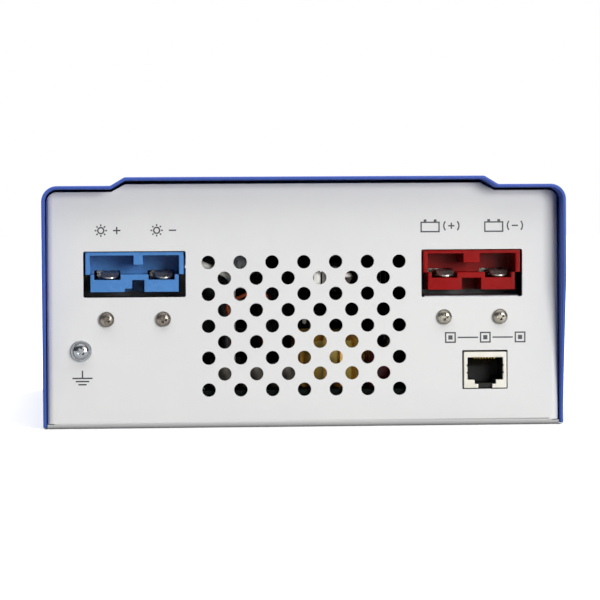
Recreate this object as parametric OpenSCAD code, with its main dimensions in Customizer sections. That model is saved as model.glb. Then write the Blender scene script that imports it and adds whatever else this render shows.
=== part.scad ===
// Solar charge controller in a folded steel case, lying on its back.
// The connection end faces -Y, the display faces +Z, and on a wall +Y points up.
// The origin is on the underside of the base plate, in the middle of the case.

/* [Case] */
// Width over the cover's side walls
case_w = 185.2; // [182:0.1:240]
// Length along the top of the cover
case_l = 277; // [270:1:360]
// Height to the raised middle of the cover
case_h = 88.8; // [88:0.1:120]
// Sheet thickness of the cover
cover_t = 1.2; // [1:0.1:2]
// Sheet thickness of the chassis
chassis_t = 1.5; // [1:0.1:2]
// Outer radius of the cover's two long edges
edge_r = 5.5; // [4:0.5:12]
// Outer radius of the folds in the chassis
fold_r = 2.5; // [2.2:0.1:4]
// Height of the cover's raised middle above its shoulders
raise_h = 3; // [1:0.5:6]
// Width of the flat on the raised middle
raise_w = 127; // [110:1:150]
// Width of each slope beside the raised middle
raise_run = 5; // [3:0.5:10]
// How far the cover's top edge stands out past the end panels
overhang_top = 8.5; // [2:0.5:10]
// How far the cover's bottom edge stands out past the end panels
overhang_bottom = 0.5; // [0:0.5:4]
// Height at which the cover's end edge starts to slant outward
slant_low = 8; // [4:1:20]
// Height from which the cover's end edge is upright again
slant_high = 52; // [30:1:70]
// Gap between the sides of the chassis and the cover
panel_gap = 0.3; // [0.3:0.1:0.9]
// Gap between the top of the chassis and the cover
roof_gap = 0.9; // [0.3:0.1:0.9]
// Gap under the cover's side walls
cover_lift = 0.5; // [0.3:0.1:1]
// Depth of the chassis flanges along the sides
flange_l = 14; // [12:1:20]
// Number of screws in each side of the cover
cover_screw_count = 3; // [2:1:5]
// Height of the cover screws above the base
cover_screw_z = 8; // [6:0.5:9]

/* [Wall mounting] */
// Distance between the keyholes across the case
keyhole_dx = 140; // [100:1:148]
// Distance between the keyholes along the case
keyhole_dy = 200; // [160:1:210]
// Diameter of the round end of a keyhole
keyhole_d = 9; // [8:0.5:10]
// Width of the narrow end of a keyhole
keyhole_slot = 4.6; // [4:0.1:5.5]
// Travel from the round end to the seat
keyhole_travel = 9; // [8:0.5:12]

/* [Vents] */
// Diameter of a vent hole
vent_d = 4.8; // [3:0.1:6]
// Distance between neighbouring vent holes
vent_pitch = 8; // [7.5:0.1:9]
// Number of rows in the front vent field
vent_rows = 9; // [3:2:9]
// Number of holes in the longer rows
vent_cols = 7; // [3:1:7]
// Height of the middle of the front vent field
vent_z = 36; // [34:0.5:44]

/* [Power connectors] */
// Distance of each power connector from the middle
conn_x = 60; // [57:0.5:64]
// Height of the power connectors' middle
conn_z = 54.5; // [52:0.5:58]
// Width of a connector housing
housing_w = 36.6; // [36:0.1:38]
// Height of a connector housing
housing_h = 15.9; // [15.5:0.1:17]
// Length of a connector housing
housing_l = 47.8; // [46:0.1:56]
// Width of the hood at the mating end
hood_w = 34.7; // [34:0.1:35.5]
// Depth of the mating end
hood_l = 17; // [14:0.5:20]
// Wall over the top of the hood
hood_roof = 1.2; // [1:0.1:1.5]
// Wall at the sides of the hood
hood_side = 1.6; // [1.2:0.1:1.8]
// Distance between the two contacts of a connector
contact_pitch = 19.2; // [18:0.1:19.5]
// Width of a contact's blade
contact_w = 6.4; // [6:0.1:7.6]
// Width of the channel that a contact lies in
channel_w = 9.3; // [8.6:0.1:10]
// Width of the colour key in the solar connector
pv_key_w = 3.3; // [3:0.1:4]
// Width of the colour key in the battery connector
battery_key_w = 5.9; // [5:0.1:6.4]
// How far the key of the PV connector stands off the middle
pv_key_x = 1.3; // [0:0.1:1.6]
// Distance between the two screws of a connector bracket
bracket_dx = 20; // [16:0.5:26]
// Height of the bracket screws
bracket_screw_z = 38.7; // [38:0.1:40]
// Outer diameter of the power cables
cable_d = 7; // [5:0.1:7]

/* [Data jack and earth] */
// Distance of the data jack from the middle
jack_x = 64.7; // [62:0.1:68]
// Width of the data jack
jack_w = 15.3; // [15:0.1:16]
// Height of the data jack
jack_h = 12.9; // [12.5:0.1:14]
// Depth of the data jack
jack_l = 18; // [16:0.5:22]
// Distance of the earth screw from the middle
earth_x = 79.1; // [76:0.1:82]
// Height of the earth screw
earth_z = 27.6; // [24:0.1:32]

/* [Boards] */
// Thickness of the circuit boards
board_t = 1.6; // [1.2:0.1:2.4]
// Height of the main board above the base plate
board_lift = 10; // [8:0.5:11]
// Gap from the main board to the case walls
board_margin = 5; // [4:0.5:8]
// Diameter of a storage capacitor
capacitor_d = 18; // [16:0.5:18]
// Height of a storage capacitor
capacitor_h = 40; // [30:1:48]
// Outer diameter of an inductor core
core_d = 23; // [22:0.5:30]
// Inner diameter of an inductor core
core_bore = 12; // [12:0.5:16]
// Height of an inductor core
core_h = 15; // [12:0.5:18]
// Number of turns on an inductor
turns = 14; // [10:1:15]
// Thickness of the inductor wire
wire_d = 1.7; // [1.2:0.1:1.8]

/* [Cooling] */
// Width and height of the fan
fan_size = 80; // [78:1:81]
// Depth of the fan
fan_l = 25; // [20:1:25]
// Distance between the fan screws
fan_pitch = 71.5; // [70:0.5:72]
// Number of fan blades
blade_count = 7; // [5:1:9]
// Diameter of the fan hub
hub_d = 34; // [30:1:38]
// Width of the heat sink
sink_w = 64; // [56:1:66]
// Height of the heat sink
sink_h = 50; // [42:1:52]
// Thickness of the heat sink walls
sink_t = 5; // [4:0.5:6]
// Number of fins on each wall
fin_count = 7; // [5:1:9]
// Number of transistors on each side of the heat sink
transistor_count = 4; // [2:1:4]

/* [Display and keys] */
// Width of the display window
window_w = 72; // [60:1:74]
// Length of the display window
window_l = 46; // [36:1:48]
// Distance of the display window from the middle
window_y = 28; // [26:1:30]
// Distance of the row of keys from the middle
key_y = -20; // [-22:1:-18]
// Distance between neighbouring keys
key_pitch = 24; // [19:0.5:25]
// Width of a key
key_w = 14; // [12:0.5:14]
// Length of a key
key_l = 8; // [7:0.5:9]
// How far a key stands out of the cover
key_stand = 1.2; // [1:0.1:2]
// Travel of a key
key_travel = 0.8; // [0.5:0.1:1]
// Distance between neighbouring status lights
light_pitch = 16; // [10:1:30]

/* [Fasteners] */
// Thread diameter of the small screws
screw_d = 3; // [2.9:0.1:3.2]
// Head diameter of the small screws
head_d = 5.5; // [5.2:0.1:5.8]
// Head height of the small screws
head_h = 2.2; // [2:0.1:2.4]
// Thread diameter of the fan screws
fan_screw_d = 4; // [3.5:0.1:4.2]
// Thread diameter of the terminal screws
terminal_screw_d = 5; // [4:0.5:5]

/* [Hidden] */
$fn = 48;

// Clearances: a seated shank, a sliding or hand fit, and the reach of a cut past its sheet
fit = 0.05;
slack = 0.3;
past = 1;

// Case
shoulder_z = case_h - raise_h;
slope_shift = tan(atan(raise_h / raise_run) / 2);
panel_x = case_w / 2 - cover_t - panel_gap;
panel_y = case_l / 2 - overhang_top;
face_y = -panel_y;
inner_y = face_y + chassis_t;
rear_y = panel_y - chassis_t;
roof_z = case_h - cover_t;
corner_h = chassis_t + 0.1;
relief = 0.3;
brow_drop = 0.3;
side_flange_h = 14;
countersink_d = 5.6;
cover_screw_l = 5.5;
cover_screw_reach = panel_y - 30;

// Vents
vent_step = vent_pitch / sqrt(2);

// Connectors
hood_recess = 0.5;
cut_clear = 0.3;
cut_w = hood_w + 5 * cut_clear;
battery_cut_drop = 0.6;
key_drop = 4.5;
tongue_w = hood_w - 2 * hood_side - cut_clear;
tongue_h = housing_h / 2 - hood_roof - 0.55;
tongue_recess = 1;
channel_z = -1.9;
slot_z = -2;
contact_shift = 0.9;
spring_w = 5;
spring_groove_z = -3.4;
blade_t = 1.2;
hump_z = channel_z + 1.6 + blade_t;
barrel_d = 7.6;
barrel_y = 30;
barrel_end_y = housing_l - 3.5;
cable_bore_d = 8.6;
connector_screw_y = [24, 43];
bracket_t = 1.2;
bracket_w = 34;
bracket_drop = 12.7;
bracket_top = conn_z - housing_h / 2;

// Boards
board_z = chassis_t + board_lift;
deck_z = board_z + board_t;
board_x = panel_x - chassis_t - board_margin;
board_front = inner_y + 1;
board_rear = rear_y - fan_l - 5.5;
standoff_x = board_x - 5.3;
standoff_y = [board_front + 9, board_front + 108, board_rear - 6];
standoff_d = 6;
standoff_af = 6;
screw_hole_d = screw_d + 0.4;

// Data jack
jack_z = deck_z + 0.1 + jack_h / 2;
jack_cut_clear = 0.5;
jack_cut_shift = 0.15;
jack_mouth_w = 12.7;
jack_mouth_h = 8;
jack_mouth_z = 0.45;

// Terminals: places of the screws, from the front panel's face
lug_reach = 13;
block_size = [12, 12, 8];
lug_t = 1.5;
lug_z = deck_z + block_size[2];
pv_terminals = [[-24, face_y + 96], [-54, face_y + 86]];
battery_terminals = [[50.5, face_y + 86], [69.5, face_y + 86]];

// Inductors
core_z = deck_z + wire_d + 0.2;
core_places = [[11.6, face_y + 26], [14, face_y + 78]];

// Heat sink
sink_front = face_y + 122;
sink_rear = board_rear - 1;
transistor_pitch = 22;
transistor_y = sink_front + 14;
transistor_w = 10;
transistor_t = 4.5;
tab_t = 1.3;
strip_t = 0.3;
clamp_t = 3;
clamp_z = deck_z + 8;
clamp_h = 8;

// Fan
fan_z = chassis_t + 2.5 + fan_size / 2;
fan_y = rear_y - fan_l;
duct_r = fan_size / 2 - 2;
blade_tip_r = duct_r - 1;
motor_base_l = 4;
shaft_d = 3;
bush_d = 7;
fan_flange_l = 4.5;
guard_hub_r = 9;
guard_slot = 5;
guard_web = 2;
guard_spoke = 4;

// Display
lens_t = cover_t;
lens_lip = 3;
lcd_h = 8;
display_z = roof_z - lens_t - slack - lcd_h;
display_w = 112;
display_front = key_y - 18;
display_rear = window_y + window_l / 2 + 5;
display_screw_x = display_w / 2 - 6;
display_screw_y = [display_front + 5, display_rear - 5];
light_y = key_y + 15;
light_d = 3;
key_skirt = 1.5;
stem_d = 3.4;
switch_h = 4;

// ---- Shapes used by several pieces ----

module along_x(x0, x1) translate([x0, 0, 0]) rotate([90, 0, 90]) linear_extrude(x1 - x0) children();

module along_y(y0, y1) translate([0, y1, 0]) rotate([90, 0, 0]) linear_extrude(y1 - y0) children();

module along_z(z0, z1) translate([0, 0, z0]) linear_extrude(z1 - z0) children();

module block(lo, hi) translate(lo) cube(hi - lo);

module both_sides() {
    children();
    mirror([1, 0, 0]) children();
}

module both_ends() {
    children();
    mirror([0, 1, 0]) children();
}

// A rectangle with round corners, centred
module soft_rect(size, r) {
    square([size[0] - 2 * r, size[1]], center = true);
    square([size[0], size[1] - 2 * r], center = true);
    for (x = [-1, 1], y = [-1, 1])
        translate([x * (size[0] / 2 - r), y * (size[1] / 2 - r)]) circle(r);
}

// A screw with a domed cross-recess head, its seat at the origin and its shank towards -Z
module pan_screw(length, d = screw_d, head = head_d, height = head_h) {
    dome_r = head * 0.85;
    difference() {
        union() {
            intersection() {
                cylinder(d = head, h = height);
                translate([0, 0, height - dome_r]) sphere(dome_r);
            }
            translate([0, 0, -length]) cylinder(d = d - 2 * fit, h = length + height / 3);
        }
        for (turn = [0, 90])
            rotate(turn) translate([-head * 0.3, -head * 0.07, height * 0.45])
                cube([head * 0.6, head * 0.14, height]);
    }
}

module hex_nut(d, across_flats, height) {
    difference() {
        cylinder(d = across_flats / cos(30), h = height, $fn = 6);
        translate([0, 0, -past]) cylinder(d = d, h = height + 2 * past);
    }
}

// Turns a piece that points along +Z so that it points out of the front or the rear
module facing_front() rotate([90, 0, 0]) children();

module facing_rear() rotate([-90, 0, 0]) children();

// ---- Paths for cables ----

// Corners of a route are cut back to a smooth curve
function smooth(p, rounds) = rounds == 0 ? p : smooth(concat(
    [p[0]],
    [for (i = [0 : len(p) - 2], t = [0.25, 0.75]) p[i] * (1 - t) + p[i + 1] * t],
    [p[len(p) - 1]]), rounds - 1);

function unit(v) = v / norm(v);

function tangent(p, i) = unit(p[min(i + 1, len(p) - 1)] - p[max(i - 1, 0)]);

function ring(centre, along, r, sides) =
    let (side = unit(cross([1, 0, 0], along)), up = cross(along, side))
    [for (k = [0 : sides - 1])
        centre + r * (cos(360 * k / sides) * side + sin(360 * k / sides) * up)];

module sweep(route, r, sides = 10) {
    last = len(route) - 1;
    points = [for (i = [0 : last]) each ring(route[i], tangent(route, i), r, sides)];
    walls = [for (i = [0 : last - 1], k = [0 : sides - 1])
        let (a = i * sides + k, b = i * sides + (k + 1) % sides)
        each [[a, b, b + sides], [a, b + sides, a + sides]]];
    caps = [[for (k = [sides - 1 : -1 : 0]) k], [for (k = [0 : sides - 1]) last * sides + k]];
    polyhedron(points, concat(walls, caps), convexity = 6);
}

// ---- Case ----

// Section of the case across its width, drawn in X and Z, set in by a distance all round
module case_section(inset, bottom, rise = raise_h) {
    x = case_w / 2 - inset;
    z = shoulder_z - inset;
    r = edge_r - inset;
    foot = raise_w / 2 + raise_run - inset * slope_shift;
    brow = raise_w / 2 - inset * slope_shift;
    translate([-x, bottom]) square([2 * x, z - r - bottom]);
    translate([-x + r, bottom]) square([2 * (x - r), z - bottom]);
    for (side = [-1, 1]) translate([side * (x - r), z - r]) circle(r);
    polygon([[-foot, z - past], [foot, z - past], [foot, z],
             [brow, z + rise], [-brow, z + rise], [-foot, z]]);
}

// Outline of the cover seen from the side, with both end edges slanted
module cover_outline() {
    foot = panel_y + overhang_bottom;
    head = case_l / 2;
    polygon([[-foot, 0], [foot, 0], [foot, slant_low], [head, slant_high], [head, case_h + past],
             [-head, case_h + past], [-head, slant_high], [-foot, slant_low]]);
}

module cover_screw_places(screw_x = case_w / 2)
    for (side = [0, 1], i = [0 : cover_screw_count - 1])
        mirror([side, 0, 0])
            translate([screw_x, cover_screw_reach * (2 * i / (cover_screw_count - 1) - 1), cover_screw_z])
                rotate([0, 90, 0]) children();

module key_places() for (i = [0 : 3]) translate([(i - 1.5) * key_pitch, key_y]) children();

module light_places() for (i = [-1 : 1]) translate([i * light_pitch, light_y]) children();

module display_screw_places()
    for (x = [-1, 1], y = display_screw_y) translate([x * display_screw_x, y, 0]) children();

module cover() color("#3a5a9c") difference() {
    intersection() {
        along_y(-case_l / 2 - past, case_l / 2 + past) difference() {
            case_section(0, cover_lift);
            case_section(cover_t, cover_lift - past);
        }
        along_x(-case_w, case_w) cover_outline();
    }
    along_z(roof_z - past, case_h + past) {
        translate([0, window_y]) soft_rect([window_w, window_l], 2);
        key_places() soft_rect([key_w + 2 * slack, key_l + 2 * slack], 3 + slack);
        light_places() circle(d = light_d + 2 * slack);
    }
    cover_screw_places() {
        translate([0, 0, -cover_t - past]) cylinder(d = screw_hole_d, h = cover_t + 2 * past);
        translate([0, 0, -cover_t]) cylinder(d1 = screw_d, d2 = countersink_d, h = cover_t);
    }
}

module cover_screws() color("silver") cover_screw_places() {
    translate([0, 0, -cover_t]) difference() {
        cylinder(d1 = screw_d - 2 * fit, d2 = countersink_d - 2 * fit, h = cover_t - fit);
        for (turn = [0, 90]) rotate(turn) translate([-1.6, -0.4, cover_t * 0.5]) cube([3.2, 0.8, cover_t]);
    }
    translate([0, 0, -cover_screw_l]) cylinder(d = screw_d - 2 * fit, h = cover_screw_l - cover_t + fit);
}

// Area with its low corner rounded
module rounded_corner(lo, hi, r) {
    translate(lo + [r, r]) circle(r);
    translate(lo + [r, 0]) square(hi - lo - [r, 0]);
    translate(lo + [0, r]) square(hi - lo - [0, r]);
}

// Section of a folded sheet with its outer corner at the origin
module fold_section(leg_a, leg_b, t = chassis_t, r = fold_r) {
    difference() {
        rounded_corner([0, 0], [leg_a, leg_b], r);
        rounded_corner([t, t], [leg_a + past, leg_b + past], r - t);
    }
}

// Base plate and both end panels, drawn in Y and Z
module chassis_section() for (end = [0, 1])
    mirror([end, 0]) translate([face_y, 0]) fold_section(panel_y + past, case_h);

module chassis_sheet() intersection() {
    union() {
        along_x(-panel_x + fold_r, panel_x - fold_r) chassis_section();
        intersection() {
            along_x(-panel_x, panel_x) chassis_section();
            both_ends() block([-panel_x, face_y, 0], [panel_x, face_y + flange_l, corner_h]);
        }
        both_sides() {
            both_ends() along_z(corner_h + relief, case_h)
                translate([-panel_x, face_y]) fold_section(fold_r + past, flange_l);
            along_y(face_y + flange_l + relief, -face_y - flange_l - relief)
                translate([-panel_x, 0]) fold_section(fold_r + past, side_flange_h);
        }
    }
    along_y(face_y - past, past - face_y) translate([0, panel_gap - roof_gap])
        case_section(cover_t + panel_gap, -past, raise_h - brow_drop);
}

module vent_field()
    for (row = [0 : vent_rows - 1])
        let (count = vent_cols - row % 2)
        for (i = [0 : count - 1])
            translate([(2 * i - count + 1) * vent_step, (row - (vent_rows - 1) / 2) * vent_step])
                circle(d = vent_d);

// Round guard cut in the rear panel: ring slots with spokes across them
module fan_vents() difference() {
    for (r = [guard_hub_r : guard_slot + guard_web : duct_r - guard_slot]) difference() {
        circle(r + guard_slot);
        circle(r);
    }
    for (turn = [30, 90, 150]) rotate(turn) square([2 * fan_size, guard_spoke], center = true);
}

module fan_screw_corners() for (x = [-1, 1], z = [-1, 1]) translate([x, z] * fan_pitch / 2) children();

// Cut-out for a connector's hood and for the plug that slides over its tongue
module connector_cut(drop) {
    low = conn_z - housing_h / 2 - cut_clear / 2 - drop;
    high = conn_z + housing_h / 2 + cut_clear;
    translate([0, (low + high) / 2]) soft_rect([cut_w, high - low], 0.6);
}

module bracket_screw_pair() for (x = [-1, 1]) translate([x * bracket_dx / 2, bracket_screw_z]) children();

module front_cuts() {
    translate([0, vent_z]) vent_field();
    translate([-conn_x, 0]) {
        connector_cut(0);
        bracket_screw_pair() circle(d = screw_hole_d);
    }
    translate([conn_x, 0]) {
        connector_cut(battery_cut_drop);
        bracket_screw_pair() circle(d = screw_hole_d);
    }
    translate([jack_x - jack_cut_shift, jack_z + jack_cut_shift])
        soft_rect([jack_w, jack_h] + [2, 2] * jack_cut_clear, 0.4);
    translate([-earth_x, earth_z]) circle(d = screw_hole_d);
}

module rear_cuts() translate([0, fan_z]) {
    fan_vents();
    fan_screw_corners() circle(d = fan_screw_d + 0.5);
}

module keyhole() {
    circle(d = keyhole_d);
    translate([-keyhole_slot / 2, 0]) square([keyhole_slot, keyhole_travel]);
    translate([0, keyhole_travel]) circle(d = keyhole_slot);
}

module standoff_places() for (x = [-1, 1], y = standoff_y) translate([x * standoff_x, y]) children();

module base_cuts() {
    for (x = [-1, 1], y = [-1, 1]) translate([x * keyhole_dx, y * keyhole_dy] / 2) keyhole();
    standoff_places() circle(d = 4.2);
}

module chassis() color("#e2e3e4") difference() {
    chassis_sheet();
    along_y(face_y - past, inner_y + past) front_cuts();
    along_y(rear_y - past, panel_y + past) rear_cuts();
    along_z(-past, chassis_t + past) base_cuts();
    cover_screw_places(panel_x) translate([0, 0, -chassis_t - past])
        cylinder(d = screw_d, h = chassis_t + 2 * past);
}

// ---- Display and keys ----

module display_window() color("#202428") translate([0, window_y, 0]) {
    along_z(roof_z, case_h - 0.2) soft_rect([window_w, window_l] - [2, 2] * 0.2, 1.8);
    along_z(roof_z - lens_t, roof_z) soft_rect([window_w, window_l] + [2, 2] * lens_lip, 2);
}

module lcd_module() color("#30363a") translate([0, window_y, 0]) difference() {
    along_z(display_z, display_z + lcd_h) soft_rect([window_w + 2 * lens_lip, window_l + 8], 1);
    along_z(display_z + lcd_h - 0.5, display_z + lcd_h + past) soft_rect([window_w - 6, window_l - 6], 1);
}

module display_board() color("#1f6b3a") difference() {
    block([-display_w / 2, display_front, display_z - board_t], [display_w / 2, display_rear, display_z]);
    display_screw_places() along_z(display_z - board_t - past, display_z + past) circle(d = screw_hole_d);
}

module display_standoffs() color("#c8b060") display_screw_places() difference() {
    along_z(display_z, roof_z) circle(d = standoff_d);
    along_z(display_z - past, roof_z - 2) circle(d = screw_d);
}

module display_screws() color("silver") display_screw_places()
    translate([0, 0, display_z - board_t]) rotate([180, 0, 0]) pan_screw(board_t + 6);

module key(place) translate([(place - 1.5) * key_pitch, key_y, 0]) {
    along_z(roof_z - 2 * slack, case_h + key_stand) soft_rect([key_w, key_l], 3);
    along_z(roof_z - slack - key_skirt, roof_z - slack)
        soft_rect([key_w, key_l] + [2, 2] * key_skirt, 3 + key_skirt);
    along_z(display_z + key_travel + 2 * slack, roof_z - slack - key_skirt + fit) circle(d = stem_d);
}

module menu_key() color("#2b2e33") key(0);

module down_key() color("#2b2e33") key(1);

module up_key() color("#2b2e33") key(2);

module enter_key() color("#2b2e33") key(3);

module key_switches() color("#50555a") for (i = [0 : 3])
    translate([(i - 1.5) * key_pitch, key_y, 0]) difference() {
        along_z(display_z, display_z + switch_h) square([6.2, 6.2], center = true);
        along_z(display_z + slack, display_z + switch_h + past) circle(d = stem_d + 2 * slack);
    }

module status_lights() color("#d8f0d8") light_places() {
    along_z(display_z, case_h - 0.1) circle(d = light_d);
    along_z(display_z, display_z + 3) circle(d = light_d + 1);
}

// ---- Ribbon between the boards ----

ribbon_w = 20;
ribbon_t = 0.9;
header_h = 7;
header_gap = 0.1;
upper_header = [display_front + 9, display_z - board_t];
lower_header = [face_y + 112, deck_z];

// Side view of the ribbon: it hangs between the headers with a slack bow
function ribbon_bow(t) = [
    upper_header[0] * (1 - t) + lower_header[0] * t + 5 * sin(180 * t) * sin(180 * t),
    (upper_header[1] - header_h) * (1 - t) + (lower_header[1] + header_h) * t];

module ribbon_cable() color("#9aa0a6") along_x(-ribbon_w / 2, ribbon_w / 2) {
    line = [for (i = [0 : 12]) ribbon_bow(i / 12)];
    polygon(concat(
        [for (p = line) p - [ribbon_t / 2, 0]],
        [for (i = [12 : -1 : 0]) line[i] + [ribbon_t / 2, 0]]));
}

module ribbon_headers() color("#26282b") {
    block([-ribbon_w / 2 - 2, upper_header[0] - 3, upper_header[1] - header_h],
          [ribbon_w / 2 + 2, upper_header[0] + 3, upper_header[1]]);
    block([-ribbon_w / 2 - 2, lower_header[0] - 3, lower_header[1]],
          [ribbon_w / 2 + 2, lower_header[0] + 3, lower_header[1] + header_h]);
}

// ---- Main board and what stands on it ----

module main_board() color("#1f6b3a") difference() {
    block([-board_x, board_front, board_z], [board_x, board_rear, deck_z]);
    along_z(board_z - past, deck_z + past) standoff_places() circle(d = screw_hole_d);
}

module board_standoffs() color("#c8b060") standoff_places() difference() {
    union() {
        translate([0, 0, chassis_t]) cylinder(d = standoff_af / cos(30), h = board_lift, $fn = 6);
        translate([0, 0, 0.1]) cylinder(d = 4.2 - 2 * fit, h = chassis_t);
    }
    translate([0, 0, chassis_t + 2]) cylinder(d = screw_d, h = board_lift);
}

module board_screws() color("silver") standoff_places() translate([0, 0, deck_z]) pan_screw(board_t + 6);

// Sizes and places of the chips, from the front panel's face
chips = [
    [[-62, 22], [14, 14, 1.8]],
    [[-40, 16], [10, 8, 2.6]],
    [[-40, 40], [10, 8, 2.6]],
    [[44, 16], [8, 12, 2.2]],
    [[-14, 54], [6, 8, 2]]
];

module control_chips() color("#222427") for (chip = chips)
    translate([chip[0][0] - chip[1][0] / 2, face_y + chip[0][1] - chip[1][1] / 2, deck_z]) cube(chip[1]);

module capacitor(d, h) {
    groove_r = 0.9;
    difference() {
        translate([0, 0, deck_z]) cylinder(d = d, h = h);
        translate([0, 0, deck_z + 3]) rotate_extrude() translate([d / 2 + 0.3, 0]) circle(groove_r);
        translate([0, 0, deck_z + h - 0.4]) cylinder(d = d - 3, h = past);
    }
}

module filter_capacitors() color("#b9bdc2") for (x = [-28, -17, -6])
    translate([x, face_y + 18, 0]) capacitor(10, 9);

module capacitor_bank(side) for (column = [54, 74], row = [0 : 2])
    translate([side * column, sink_front + 18 + 21 * row, 0]) capacitor(capacitor_d, capacitor_h);

module input_capacitors() color("#2a2d46") capacitor_bank(-1);

module output_capacitors() color("#2a2d46") capacitor_bank(1);

// Sizes and places of the film capacitors, from the front panel's face
film_capacitor_places = [[[27.8, 14], [7.4, 10, 14]], [[33, 100], [8, 18, 14]]];

module film_capacitors() color("#5e1420") for (c = film_capacitor_places)
    translate([c[0][0], face_y + c[0][1]])
        along_z(deck_z, deck_z + c[1][2]) soft_rect([c[1][0], c[1][1]], 0.8);

module inductor_cores() color("#b8962e") for (place = core_places)
    translate([place[0], place[1], core_z]) difference() {
        cylinder(d = core_d, h = core_h);
        translate([0, 0, -past]) cylinder(d = core_bore, h = core_h + 2 * past);
    }

// One turn of wire round the core's section, standing in X and Z
module wire_turn() {
    depth = (core_d - core_bore) / 2;
    size = [depth, core_h] + [2, 2] * 0.15;
    translate([(core_d + core_bore) / 4, wire_d / 2, core_h / 2]) rotate([90, 0, 0])
        linear_extrude(wire_d) difference() {
            soft_rect(size + [2, 2] * wire_d, wire_d);
            soft_rect(size, 0.4);
        }
}

module inductor_windings() color("#c08a2c") for (place = core_places)
    translate([place[0], place[1], core_z])
        for (i = [0 : turns - 1]) rotate(360 * i / turns) wire_turn();

fuse_places = [36, 47, 58, 69];

module fuses() color("#4f9e58") for (x = fuse_places) translate([x, face_y + 50, deck_z]) {
    difference() {
        block([-2.5, -9.5, 4], [2.5, 9.5, 19]);
        for (side = [0, 1]) mirror([side, 0, 0]) block([1.5, -6, 6], [3, 6, 13]);
    }
    for (y = [-7.5, 2.5]) block([-0.4, y, 0], [0.4, y + 5, 4.5]);
}

// ---- Heat sink and transistors ----

fin_t = 1.6;
fin_l = sink_w / 2 - sink_t - 4;
fin_step = (sink_h - sink_t) / fin_count;

module heat_sink() color("#a8acb0") along_y(sink_front, sink_rear) translate([0, deck_z]) {
    translate([-sink_w / 2, 0]) square([sink_w, sink_t]);
    for (side = [-1, 1]) {
        translate([side * (sink_w - sink_t) / 2 - sink_t / 2, 0]) square([sink_t, sink_h]);
        for (i = [1 : fin_count])
            translate([side * (sink_w / 2 - sink_t - (fin_l - past) / 2), sink_t + i * fin_step - fin_t / 2])
                square([fin_l + past, fin_t], center = true);
    }
}

module transistor_places() both_sides() for (i = [0 : transistor_count - 1])
    translate([sink_w / 2 + strip_t, transistor_y + i * transistor_pitch, deck_z]) children();

module clamp_screw_places() both_sides() for (i = [0 : transistor_count - 2])
    translate([sink_w / 2, transistor_y + (i + 0.5) * transistor_pitch, clamp_z + clamp_h / 2])
        rotate([0, 90, 0]) children();

module power_transistors() color("#1c1e20") transistor_places() {
    difference() {
        union() {
            block([0, -transistor_w / 2, 7], [transistor_t, transistor_w / 2, 16.5]);
            block([0, -transistor_w / 2, 7], [tab_t, transistor_w / 2, 22.5]);
        }
        translate([-past, 0, 19.5]) rotate([0, 90, 0]) cylinder(d = 3.6, h = tab_t + 2 * past);
    }
    for (y = [-2.54, 0, 2.54]) block([2.2, y - 0.4, 0], [2.7, y + 0.4, 7.5]);
}

module thermal_strips() color("#8f8ba0") difference() {
    both_sides() block([sink_w / 2, transistor_y - 8, deck_z + 6],
        [sink_w / 2 + strip_t, transistor_y + (transistor_count - 1) * transistor_pitch + 8, deck_z + 24]);
    clamp_screw_places() translate([0, 0, -past]) cylinder(d = screw_hole_d, h = strip_t + 2 * past);
}

module clamp_bars() color("#c4c7ca") difference() {
    both_sides() block([sink_w / 2 + strip_t + transistor_t, transistor_y - 6, clamp_z],
        [sink_w / 2 + strip_t + transistor_t + clamp_t,
         transistor_y + (transistor_count - 1) * transistor_pitch + 6, clamp_z + clamp_h]);
    clamp_screw_places() cylinder(d = screw_hole_d, h = 20);
}

module clamp_screws() color("silver") clamp_screw_places()
    translate([0, 0, strip_t + transistor_t + clamp_t]) pan_screw(strip_t + transistor_t + clamp_t - fit);

// ---- Terminals ----

module terminal_places()
    for (p = concat(pv_terminals, battery_terminals)) translate([p[0], p[1], 0]) children();

module terminal_blocks() color("#c8975a") terminal_places() difference() {
    along_z(deck_z, lug_z) square([block_size[0], block_size[1]], center = true);
    along_z(deck_z + 0.5, lug_z + past) circle(d = terminal_screw_d);
}

module cable_lugs() color("#c9ccd0") terminal_places() {
    along_z(lug_z, lug_z + lug_t) difference() {
        union() {
            circle(d = 11.5);
            translate([-4.5, -lug_reach]) square([9, lug_reach]);
            translate([0, -lug_reach]) circle(d = 9);
        }
        circle(d = terminal_screw_d + 0.4);
    }
    translate([0, -lug_reach, lug_z]) difference() {
        cylinder(d = 9, h = 12);
        translate([0, 0, lug_t]) cylinder(d = cable_d + 0.2, h = 12);
    }
}

module terminal_screws() color("silver") terminal_places()
    translate([0, 0, lug_z + lug_t]) pan_screw(lug_t + 7, terminal_screw_d, 8.5, 3.2);

// ---- Power connectors ----

// Everything of a connector is drawn from the middle of its mating face
module at_connector(side) translate([side * conn_x, face_y + hood_recess, conn_z]) children();

module contact_pair() for (side = [-1, 1]) translate([side * contact_pitch / 2, 0, 0]) children();

module connector_screw_pair() for (y = connector_screw_y) translate([0, y, 0]) children();

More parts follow.
